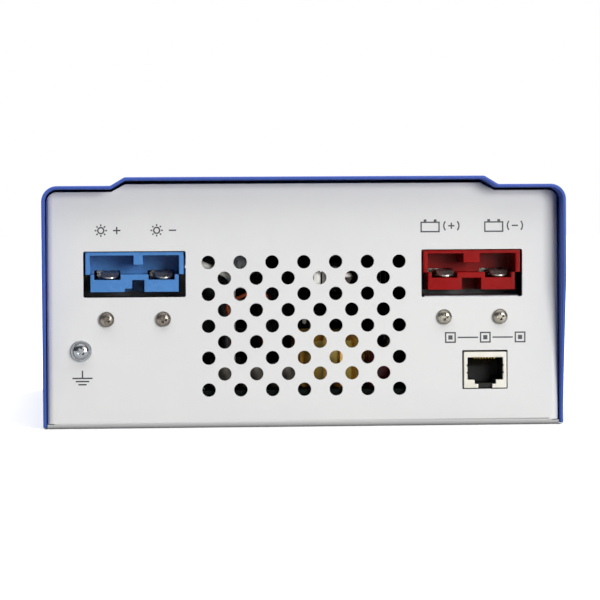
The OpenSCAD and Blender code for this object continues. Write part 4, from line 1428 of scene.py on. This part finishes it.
@dataclass
class DisplayPanel:
    """The display, the keys and the lights under the roof of the cover, with their board."""

    glass: Spot = (65.6, 39.6, 0.4)
    glass_sink: float = 0.5
    glass_edge: float = 0.08
    window: Spot = (71.0, 45.0, 4.0)
    overlay: Spot = (108.0, 94.0, 0.2)
    overlay_margin: float = 9.0
    key_hole: Spot = (14.8, 8.8, 4.0)
    digits: int = 4
    digit: Point = (6.2, 11.5)
    digit_start: float = 0.12
    digit_step: float = 0.155
    point_start: float = 0.0425
    point_r: float = 0.7
    rows: Point = (0.2, -0.24)
    stroke: float = 1.1
    symbol_side: float = 0.34
    symbol_sizes: Point = (9.0, 11.0)
    symbol_line: float = 0.8
    level_cells: int = 10
    level_cell: Point = (4.2, 1.3)
    level_start: float = 0.44
    level_step: float = 0.093
    level_drop: float = 0.02
    line: float = 0.45
    mark_drop: float = 5.6
    mark_sun: float = 4.4
    mark_battery: float = 5.0
    mark_fan_r: float = 1.9
    mark_blade: Point = (1.5, 0.55)
    mark_blade_turn: float = 0.4
    overlay_r: float = 4.0
    window_r: float = 1.8
    key_hole_r: float = 3.2
    light_hole_r: float = 1.7
    dish: float = 0.35
    dish_shares: Point = (0.45, 0.55)
    rim: float = 1.0

    def build(self) -> None:
        """Builds every piece of the display panel."""
        refine_all(("display_window", Finish.WINDOW, 0.15, 2),
                   ("lcd_module", Finish.BEZEL, 0.25, 2))
        self.display()
        self.front_overlay()
        for key in Key:
            self.key(key)
        self.light_marks()
        refine_all(("status_lights", Finish.LENS, 0.3, 3),
                   ("key_switches", Finish.SWITCH, 0.15, 2),
                   ("display_board", Finish.BOARD, 0.08, 1),
                   ("display_standoffs", Finish.BRASS, 0.12, 2))
        fit_screws("display_screws", Facing.DOWN)
        refine("ribbon_cable", Finish.RIBBON, smooth_under=50.0)
        refine_all(("ribbon_headers", Finish.HEADER, 0.25, 2))

    def display(self) -> None:
        """Builds the display's glass and the figures on it."""
        box, (w, h, t) = Box.of("lcd_module"), self.glass
        x, y, floor = box.centre.x, box.centre.y, box.high.z - self.glass_sink
        glass = slab(self.glass, (x, y, floor + t / 2), self.glass_edge)
        publish(glass, "display_glass", Finish.LCD)
        sheet = MarkSheet(0.02, 0.02)
        for row in self.rows:
            for i in range(self.digits):
                step = self.digit_step * i
                self.figure(sheet, (w * (step - self.digit_start), h * row))
                if i < self.digits - 1:
                    point = (w * (step - self.point_start), h * row - self.digit[1] / 2)
                    sheet.disc(point, self.point_r)
        for draw, row, size in zip((sheet.sun, sheet.battery), self.rows, self.symbol_sizes):
            draw((-w * self.symbol_side, h * row), size, self.symbol_line)
        length, width = self.level_cell
        for i in range(self.level_cells):
            x_cell = w * (self.level_step * i - self.level_start) + length / 2
            sheet.dash((x_cell, -h * self.level_drop), length, width)
        sheet.publish("display_figures", Finish.GHOST, Matrix.Translation((x, y, floor + t)))

    def figure(self, sheet: MarkSheet, centre: Point) -> None:
        """Draws the seven strokes of one figure.

        Args:
            sheet: Sheet of the display.
            centre: Middle of the figure.
        """
        (x, y), (w, h), s = centre, self.digit, self.stroke
        for level in (-h / 2, 0, h / 2):
            sheet.dash((x, y + level), w - 1.2 * s, s)
        for side in (-1, 1):
            for half in (-1, 1):
                middle = (x + side * w / 2, y + half * (h / 2 + 0.55 * s) / 2)
                sheet.dash(middle, h / 2 - 0.75 * s, s * 0.9, True)

    def front_overlay(self) -> None:
        """Lays a printed film round the window, the keys and the lights."""
        roof, window = Box.of("cover").high.z, Box.of("display_window").centre
        keys = [Box.of(key.value).centre for key in Key]
        y = keys[0].y - self.overlay_margin + self.overlay[1] / 2
        blank = plate(self.overlay, (window.x, y, roof + self.overlay[2] / 2), self.overlay_r)
        holes = [plate(self.window, (window.x, window.y, roof), self.window_r)]
        holes += [plate(self.key_hole, (key.x, key.y, roof), self.key_hole_r) for key in keys]
        holes += [prism(24, self.light_hole_r, 4.0, (light.centre.x, light.centre.y, roof - 2))
                  for light in solids("status_lights")]
        publish(carved(blank, holes), "front_overlay", Finish.OVERLAY)

    def key(self, key: Key) -> None:
        """Builds one key with a dished top and the mark on it.

        Args:
            key: Which of the keys.
        """
        node = key.value
        box, bm = Box.of(node), merged_copy(node)
        top = max(bm.faces, key=lambda face: face.calc_center_median().z)
        for share in self.dish_shares:
            bmesh.ops.inset_region(bm, faces=[top], thickness=self.rim * share,
                                   depth=-self.dish * share)
        publish(bm, f"{node}_cap", Finish.KEY, node, (node,), Rounding(0.3, 3))
        sheet = MarkSheet(0.03, 0.03)
        key.draw(sheet)
        place = Matrix.Translation((box.centre.x, box.centre.y, box.high.z - self.dish))
        sheet.publish(f"{node}_mark", Finish.KEY_MARK, place, node)

    def light_marks(self) -> None:
        """Prints a sun, a battery and a fan beside the lights."""
        sheet = MarkSheet(0.03, 0.02)
        left, middle, right = ((light.centre.x, light.centre.y - self.mark_drop)
                               for light in solids("status_lights"))
        sheet.sun(left, self.mark_sun, self.line)
        sheet.battery(middle, self.mark_battery, self.line)
        sheet.arc(right, self.mark_fan_r, self.line)
        for i in range(4):
            sheet.ray(right, i * QUARTER + self.mark_blade_turn, 0.0, *self.mark_blade)
        place = Matrix.Translation((0, 0, Box.of("cover").high.z + self.overlay[2]))
        sheet.publish("overlay_marks", Finish.COVER_MARK, place)


# ---- Main board ----


@dataclass(frozen=True)
class Capacitor:
    """An electrolytic capacitor whose can is crimped above its foot and scored on its top."""

    diameter: float
    height: float
    crimp: float
    wall: Finish
    band: Finish

    def shape(self) -> Shape:
        """Makes the can on the XY plane.

        Returns:
            The can, with index 0 on its wall, 1 on its top and 2 on its printed band.
        """
        r, h, c = self.diameter / 2, self.height, self.crimp
        floor = h - 0.35
        wall = [(r - 0.5, 0), (r, 0.5), (r, c), (r - 0.35, c + 0.35), (r - 0.5, c + 0.8),
                (r - 0.35, c + 1.25), (r, c + 1.6), (r, h - 1.0), (r - 0.3, h - 0.3),
                (r - 0.9, h), (r - 1.3, h - 0.05), (r - 1.5, floor)]
        arms = ((r * 1.24, 0.35, 0.3), (0.35, r * 1.24, 0.3))
        scores = [slab(size, (0, 0, floor)) for size in arms]
        bm = carved(spun([(0, 0), *wall, (0, floor)], 36), scores)
        for face in bm.faces:
            x, y, z = face.calc_center_median()
            if z > h - 0.7 and math.hypot(x, y) < r - 1.2:
                face.material_index = 1
            elif x < 0 and abs(y) < r * 0.34 and 0 < z < h - 0.4:
                face.material_index = 2
        return bm


@dataclass
class MainBoard:
    """The lower board with everything soldered to it, apart from the heat sink."""

    leg_pitch: float = 1.27
    leg_reach: float = 1.0
    leg_width: float = 0.4
    leg_runs: tuple[tuple[float, ...], ...] = (
        (0.5, 0.15, 0.2, 0.9), (0.15, 0.95, 0.45, 0.5), (0.55, 0.15, 0.7, 0.075))
    chip_lift: float = 0.25
    chip_edge: float = 0.15
    dot_r: float = 0.5
    dot_margin: float = 1.2
    dot_depth: float = 0.15
    small_parts: int = 90
    small_size: Spot = (2.0, 1.25, 0.6)
    pad_share: float = 0.24
    pad_place: float = 0.37
    pad_rise: float = 0.04
    clearance: float = 2.2
    spacing: float = 2.9
    edge: float = 3.0
    bare_front: float = 34.0
    seed: int = 11

    def build(self) -> None:
        """Builds every piece of the board."""
        refine_all(("main_board", Finish.BOARD, 0.08, 1),
                   ("board_standoffs", Finish.BRASS, 0.15, 2))
        fit_screws("board_screws", Facing.UP)
        self.chips()
        self.small_parts_field()
        low = Capacitor(10.0, 9.0, 1.6, Finish.DULL_CAN, Finish.SLEEVE)
        tall = Capacitor(18.0, 40.0, 2.2, Finish.SLEEVE, Finish.SLEEVE_BAND)
        for node, kind in (("filter", low), ("input", tall), ("output", tall)):
            self.capacitors(f"{node}_capacitors", kind)
        refine_all(("film_capacitors", Finish.FILM, 0.5, 3),
                   ("inductor_cores", Finish.CORE, 0.9, 3))
        refine("inductor_windings", Finish.ENAMEL, smooth_under=60.0)
        refine_all(("fuses", Finish.FUSE, 0.2, 2, *HOLED),
                   ("terminal_blocks", Finish.BLOCK, 0.3, 2),
                   ("cable_lugs", Finish.DULL_TIN, 0.2, 2))
        fit_screws("terminal_screws", Facing.UP, MachineScrew(5.0, 8.5, 2.65, 0.8))

    def chips(self) -> None:
        """Builds the chips, each with a row of bent legs on two sides."""
        bodies, legs = bmesh.new(), bmesh.new()
        for box in solids("control_chips"):
            x, y, _ = box.centre
            base, width, length = box.low.z, box.size.x - 2 * self.leg_reach, box.size.y
            height = box.size.z - self.chip_lift
            margin, depth = self.dot_margin, self.dot_depth
            dot_foot = (width / 2 - margin, length / 2 - margin, height - depth)
            block = slab((width, length, height), (0, 0, height / 2), self.chip_edge)
            body = carved(block, [prism(12, self.dot_r, 1.0, dot_foot)])
            stamp(bodies, body, Matrix.Translation((x, y, base + self.chip_lift)))
            count = int((length - 1) / self.leg_pitch)
            for i in range(count):
                shift = y + (i - (count - 1) / 2) * self.leg_pitch
                for side in (-1, 1):
                    self.leg(legs, (x + side * width / 2, shift, base), side)
        publish(bodies, "chip_bodies", Finish.CHIP, nodes=("control_chips",))
        publish(legs, "chip_legs", Finish.TIN)

    def leg(self, bm: Shape, root: Spot, side: int) -> None:
        """Adds one leg, bent down from the body to the board.

        Args:
            bm: Shape of all legs.
            root: Point on the board below the chip's flank.
            side: Way along X, -1 or 1.
        """
        x, y, z = root
        for length, height, out, up in self.leg_runs:
            stamp(bm, slab((length, self.leg_width, height), (x + side * out, y, z + up)))

    def small_parts_field(self) -> None:
        """Scatters small chip parts over the free places of the board."""
        board = Box.of("main_board")
        low, high = board.low, board.high
        taken = [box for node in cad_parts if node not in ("main_board", "chassis", "cover")
                 for box in solids(node) if box.low.z < high.z + 2 and box.high.z > high.z]
        rolls = random.Random(self.seed)
        bodies, ends = bmesh.new(), bmesh.new()
        length, width, height = self.small_size
        block = slab((length * 0.5, width, height), (0, 0, height / 2))
        pad_size = (length * self.pad_share, width, height + self.pad_rise)
        pads = slab(pad_size, (-length * self.pad_place, 0, (height + self.pad_rise) / 2))
        stamp(pads, pads, turned(math.pi))
        placed: list[Vector] = []
        while len(placed) < self.small_parts:
            x = rolls.uniform(low.x + self.edge, high.x - self.edge)
            y = rolls.uniform(low.y + self.bare_front, high.y - self.edge)
            spot = Vector((round(x), round(y), high.z))
            clear = all(abs(spot.x - box.centre.x) > box.size.x / 2 + self.clearance
                        or abs(spot.y - box.centre.y) > box.size.y / 2 + self.clearance
                        for box in taken)
            if clear and all((spot - other).length > self.spacing for other in placed):
                placed.append(spot)
                place = Matrix.Translation(spot) @ turned(rolls.choice((0, QUARTER)))
                stamp(bodies, block, place)
                stamp(ends, pads, place)
        publish(bodies, "chip_part_bodies", Finish.CHIP)
        publish(ends, "chip_part_ends", Finish.TIN)

    def capacitors(self, node: str, kind: Capacitor) -> None:
        """Replaces the plain capacitors of a node by cans of one kind.

        Args:
            node: Name of the node.
            kind: Kind of the capacitors.
        """
        bm = bmesh.new()
        shape = kind.shape()
        turns = random.Random(len(node))
        for box in solids(node):
            place = Matrix.Translation((box.centre.x, box.centre.y, box.low.z))
            stamp(bm, shape, place @ turned(math.radians(90 * turns.randrange(4))))
        publish(bm, f"{node}_cans", kind.wall, nodes=(node,), extra=(Finish.CAN, kind.band),
                smooth_under=40.0)


@dataclass
class HeatSink:
    """The extruded heat sink with the power transistors clamped to it."""

    tab: Spot = (6.4, 1.2, 7.0)
    tab_place: Point = (-16.4, 57.3)
    tab_corner: float = 0.2
    lead_length: float = 5.0

    def build(self) -> None:
        """Builds the heat sink, a steel tab on its front end, and what is clamped to it."""
        x, z = self.tab_place
        y = Box.of("heat_sink").low.y - self.tab[1] / 2
        publish(slab(self.tab, (x, y, z), self.tab_corner), "sensor_tab", Finish.PALE_ZINC)
        refine_all(("heat_sink", Finish.EXTRUSION, 0.2, 2))
        refine("power_transistors", Finish.EPOXY, rounding=Rounding(0.12, 2),
               extra=(Finish.TIN,), choose=self.is_lead)
        refine("thermal_strips", Finish.PAD)
        refine_all(("clamp_bars", Finish.PALE_ZINC, 0.3, 2))
        fit_screws("clamp_screws")

    def is_lead(self, middle: Vector) -> int:
        """Tells the bare metal leads under the body, 1, from the rest, 0."""
        return int(middle.z < Box.of("power_transistors").low.z + self.lead_length)


# ---- Wiring and fan ----


@dataclass(frozen=True)
class Lead:
    """A thin wire that is fixed at both ends, along points in millimetres."""

    name: str
    finish: Finish
    diameter: float
    way: tuple[Spot, ...]

    def build(self) -> None:
        """Sweeps the wire along a smooth curve through its points."""
        data = bpy.data.curves.new(self.name, "CURVE")
        data.dimensions, data.bevel_depth, data.bevel_resolution = "3D", self.diameter / 2, 3
        data.resolution_u, data.use_fill_caps = 8, True
        line = data.splines.new("BEZIER")
        line.bezier_points.add(len(self.way) - 1)
        for point, place in zip(line.bezier_points, self.way):
            point.co = place
            point.handle_left_type = point.handle_right_type = "AUTO"
        carrier = linked(self.name, data)
        bm = bmesh.new()
        bm.from_mesh(carrier.evaluated_get(bpy.context.evaluated_depsgraph_get()).to_mesh())
        bmesh.ops.remove_doubles(bm, verts=bm.verts, dist=MERGE / MM)
        bmesh.ops.recalc_face_normals(bm, faces=bm.faces)
        bpy.data.objects.remove(carrier)
        bpy.data.curves.remove(data)
        publish(bm, self.name, self.finish, smooth_under=50.0)


@dataclass(frozen=True)
class InlinePlug:
    """A white two-part plug that hangs on its wires behind the vents."""

    halves: tuple[Point, Point] = ((3.7, 6.2), (6.8, 8.5))
    top: float = 55.4
    bottom: float = 50.0
    front: float = -126.6
    depth: float = 4.5
    corner: float = 0.3
    joint_inset: Point = (1.6, 1.2)
    joint_back: float = 0.4
    joint_corner: float = 0.1
    bite: float = 0.2

    def build(self) -> None:
        """Builds both halves and the dark joint between them."""
        y, z = self.front + self.depth / 2, (self.top + self.bottom) / 2
        height = self.top - self.bottom
        bm = bmesh.new()
        for left, right in self.halves:
            size = (right - left, self.depth, height)
            stamp(bm, slab(size, ((left + right) / 2, y, z), self.corner))
        publish(bm, "inline_plug", Finish.NYLON)
        left, right = self.halves[0][1] - self.bite, self.halves[1][0] + self.bite
        size = (right - left, self.depth - self.joint_inset[0], height - self.joint_inset[1])
        middle = ((left + right) / 2, y + self.joint_back, z)
        publish(slab(size, middle, self.joint_corner), "plug_joint", Finish.JACK_CORE)


@dataclass
class Loom:
    """The signal wires behind the vents, with the plug between two of them."""

    pieces: tuple[Lead | InlinePlug, ...] = (
        Lead("solar_sense_lead", Finish.WHITE_JACKET, 2.6, (
            (-47.0, -79.0, 58.6), (-42.0, -77.0, 60.2), (-38.2, -84.0, 60.2),
            (-37.2, -105.0, 59.6), (-36.9, -118.0, 58.6), (-35.5, -123.5, 57.5),
            (-32.1, -125.0, 56.2), (-28.1, -125.0, 54.7), (-26.0, -124.0, 53.1),
            (-25.1, -120.0, 50.4), (-24.5, -108.0, 49.7), (-24.0, -97.0, 48.8),
            (-23.9, -94.5, 43.6), (-24.0, -94.5, 33.3), (-24.1, -94.5, 13.9))),
        Lead("plug_low_lead", Finish.WHITE_JACKET, 1.5, (
            (5.5, -123.0, 51.3), (4.2, -124.0, 48.1), (3.0, -125.0, 44.5), (1.0, -125.3, 41.0),
            (0.4, -125.3, 38.2), (0.5, -124.0, 37.0), (0.7, -121.0, 38.7), (1.4, -112.0, 40.1),
            (5.1, -60.0, 38.5), (8.9, -8.0, 36.9))),
        Lead("plug_side_lead", Finish.WHITE_JACKET, 1.9, (
            (8.1, -123.0, 53.0), (10.8, -124.5, 53.2), (14.0, -125.0, 53.6),
            (16.2, -124.5, 53.7), (17.0, -121.5, 53.1), (16.3, -115.0, 50.7),
            (16.4, -105.0, 49.4), (20.2, -60.0, 48.4), (24.7, -8.0, 47.2))),
        InlinePlug(),
        Lead("sense_lead", Finish.ORANGE, 1.3, (
            (-24.2, -98.0, 14.1), (-24.2, -98.0, 25.4), (-24.1, -98.0, 33.5),
            (-24.4, -98.0, 37.8), (-25.8, -98.0, 41.1), (-24.9, -98.0, 43.5),
            (-22.6, -98.0, 44.8), (-19.8, -98.0, 46.0), (-15.6, -98.0, 47.7),
            (-13.1, -98.0, 47.1), (-11.3, -98.0, 45.2), (-12.0, -98.0, 42.9),
            (-12.4, -98.0, 38.8), (-12.5, -98.0, 26.0), (-12.5, -98.0, 14.0))),
    )

    def build(self) -> None:
        """Builds the wires and the plug."""
        for piece in self.pieces:
            piece.build()


@dataclass
class Fan:
    """The fan at the rear, with its screws, nuts and lead."""

    foil_d: float = 26.0
    foil_t: float = 0.06
    foil_lift: float = 0.01

    def build(self) -> None:
        """Builds every piece of the fan."""
        refine_all(("fan_frame", Finish.FAN, 0.3, 2, *HOLED))
        refine("fan_rotor", Finish.FAN, smooth_under=32.0, body="fan_rotor")
        refine_all(("fan_bearing", Finish.BRASS, 0.15, 2))
        self.hub_foil()
        fit_screws("fan_screws", Facing.REAR, MachineScrew(4.0, 7.4, 2.6, 0.7))
        refine("fan_lead", Finish.BLACK_JACKET, smooth_under=60.0)
        refine_all(("m3_nuts", Finish.ZINC, 0.25, 2), ("m4_nuts", Finish.ZINC, 0.25, 2))

    def hub_foil(self) -> None:
        """Sticks a plain round foil on the rotor's hub."""
        rotor = Box.of("fan_rotor")
        front = rotor.low.y + self.foil_lift
        hub = (rotor.centre.x, front, Box.of("fan_bearing").centre.z)
        bm = prism(48, self.foil_d / 2, self.foil_t)
        bmesh.ops.transform(bm, matrix=Matrix.Translation(hub) @ Facing.FRONT.turn, verts=bm.verts)
        publish(bm, "hub_foil", Finish.FOIL, "fan_rotor")


# ---- Studio ----


@dataclass(frozen=True)
class Softbox:
    """A square soft light that looks at the object."""

    name: str
    place: Spot
    size: float
    power: float
    target: Spot = (0, 0, 0.04)

    def hang(self) -> None:
        """Hangs the light."""
        data = bpy.data.lights.new(self.name, "AREA")
        data.shape, data.size, data.energy = "SQUARE", self.size, self.power
        light = linked(self.name, data)
        light.location, light.rotation_mode = self.place, "QUATERNION"
        way = Vector(self.target) - Vector(self.place)
        light.rotation_quaternion = way.to_track_quat("-Z", "Y")
        light.visible_camera = False


@dataclass
class Studio:
    """Pale floor, soft lights and the camera."""

    camera_place: Spot = (-0.0768, -1.1916, 0.0735)
    yaw: float = 4.06
    pitch: float = -1.53
    roll: float = -0.33
    lens: float = 180.0
    sensor: float = 36.0
    floor_r: float = 12.0
    sky: Point = (0.4, 1.0)
    horizon: float = 0.1
    zenith: float = 2.6
    pale: tuple[str, str] = ("#fafafa", "#fcfcfc")
    cloud: float = 1.5
    roughness: float = 0.9
    bounce: str = "#404040"
    softboxes: tuple[Softbox, ...] = (
        Softbox("key", (1.30, -2.78, 0.57), 1.3, 74.0),
        Softbox("left", (-1.5, 0.1, 1.35), 0.8, 11.0),
        Softbox("rear", (0.6, 1.5, 1.35), 0.8, 14.0),
    )

    def build(self) -> None:
        """Builds the studio."""
        self.floor()
        self.world()
        for softbox in self.softboxes:
            softbox.hang()
        self.camera()
        bpy.context.scene.view_settings.view_transform = "Standard"

    def floor(self) -> None:
        """Lays a wide round floor, pale to the eye, that throws little light back up."""
        bm = bmesh.new()
        bmesh.ops.create_circle(bm, cap_ends=True, radius=self.floor_r, segments=96)
        mesh = bpy.data.meshes.new("floor")
        bm.to_mesh(mesh)
        shade = Shade("pale_floor")
        cloud = shade.effect(Effect.MOTTLE, self.cloud)
        pale = shade.blend(cloud, rgb(self.pale[0]), rgb(self.pale[1]))
        soft = shade.add("ShaderNodeLightPath").outputs["Is Diffuse Ray"]
        shade.set(Base_Color=shade.blend(soft, pale, rgb(self.bounce)), Roughness=self.roughness)
        mesh.materials.append(shade.material)
        floor = linked("floor", mesh)

    def world(self) -> None:
        """Fills the room with pale light that comes mostly from above."""
        world = bpy.data.worlds.new("room")
        world.use_nodes = True
        bench = NodeBench(world.node_tree)
        way = bench.add("ShaderNodeTexCoord").outputs["Generated"]
        height = bench.add("ShaderNodeSeparateXYZ", {0: way}).outputs["Z"]
        level = bench.span(height, self.sky, (self.horizon, self.zenith))
        seen = bench.add("ShaderNodeLightPath").outputs["Is Camera Ray"]
        ground = world.node_tree.nodes["Background"]
        ground.inputs["Color"].default_value = (1, 1, 1, 1)
        bench.feed(ground.inputs["Strength"], bench.maths("MAXIMUM", level, seen))
        bpy.context.scene.world = world

    def camera(self) -> None:
        """Sets the camera in front of the connection end."""
        data = bpy.data.cameras.new("camera")
        data.lens, data.sensor_width = self.lens, self.sensor
        camera = linked("camera", data)
        tilt = Matrix.Rotation(QUARTER + math.radians(self.pitch), 4, "X")
        turn = turned(math.radians(-self.yaw)) @ tilt @ turned(math.radians(self.roll))
        camera.matrix_world = Matrix.Translation(self.camera_place) @ turn
        bpy.context.scene.camera = camera


def main() -> None:
    """Builds the sub-assemblies in order."""
    logging.basicConfig(level=logging.INFO, format="%(message)s")
    solar = PowerConnector("pv", Finish.BLUE, Finish.BLACK_ZINC, Finish.WORN,
                           (Finish.BLACK_JACKET, Finish.BLACK_JACKET))
    battery = PowerConnector("battery", Finish.RED, Finish.PALE_ZINC, Finish.NICKEL,
                             (Finish.RED_JACKET, Finish.BLACK_JACKET))
    for part in (Studio(), Case(), solar, battery):
        part.build()
    fit_screws("connector_screws", Facing.UP)
    for part in (DataJack(), EarthTerminal(), DisplayPanel(), MainBoard(), HeatSink(), Loom(),
                 Fan()):
        part.build()


if __name__ == "__main__":
    main()
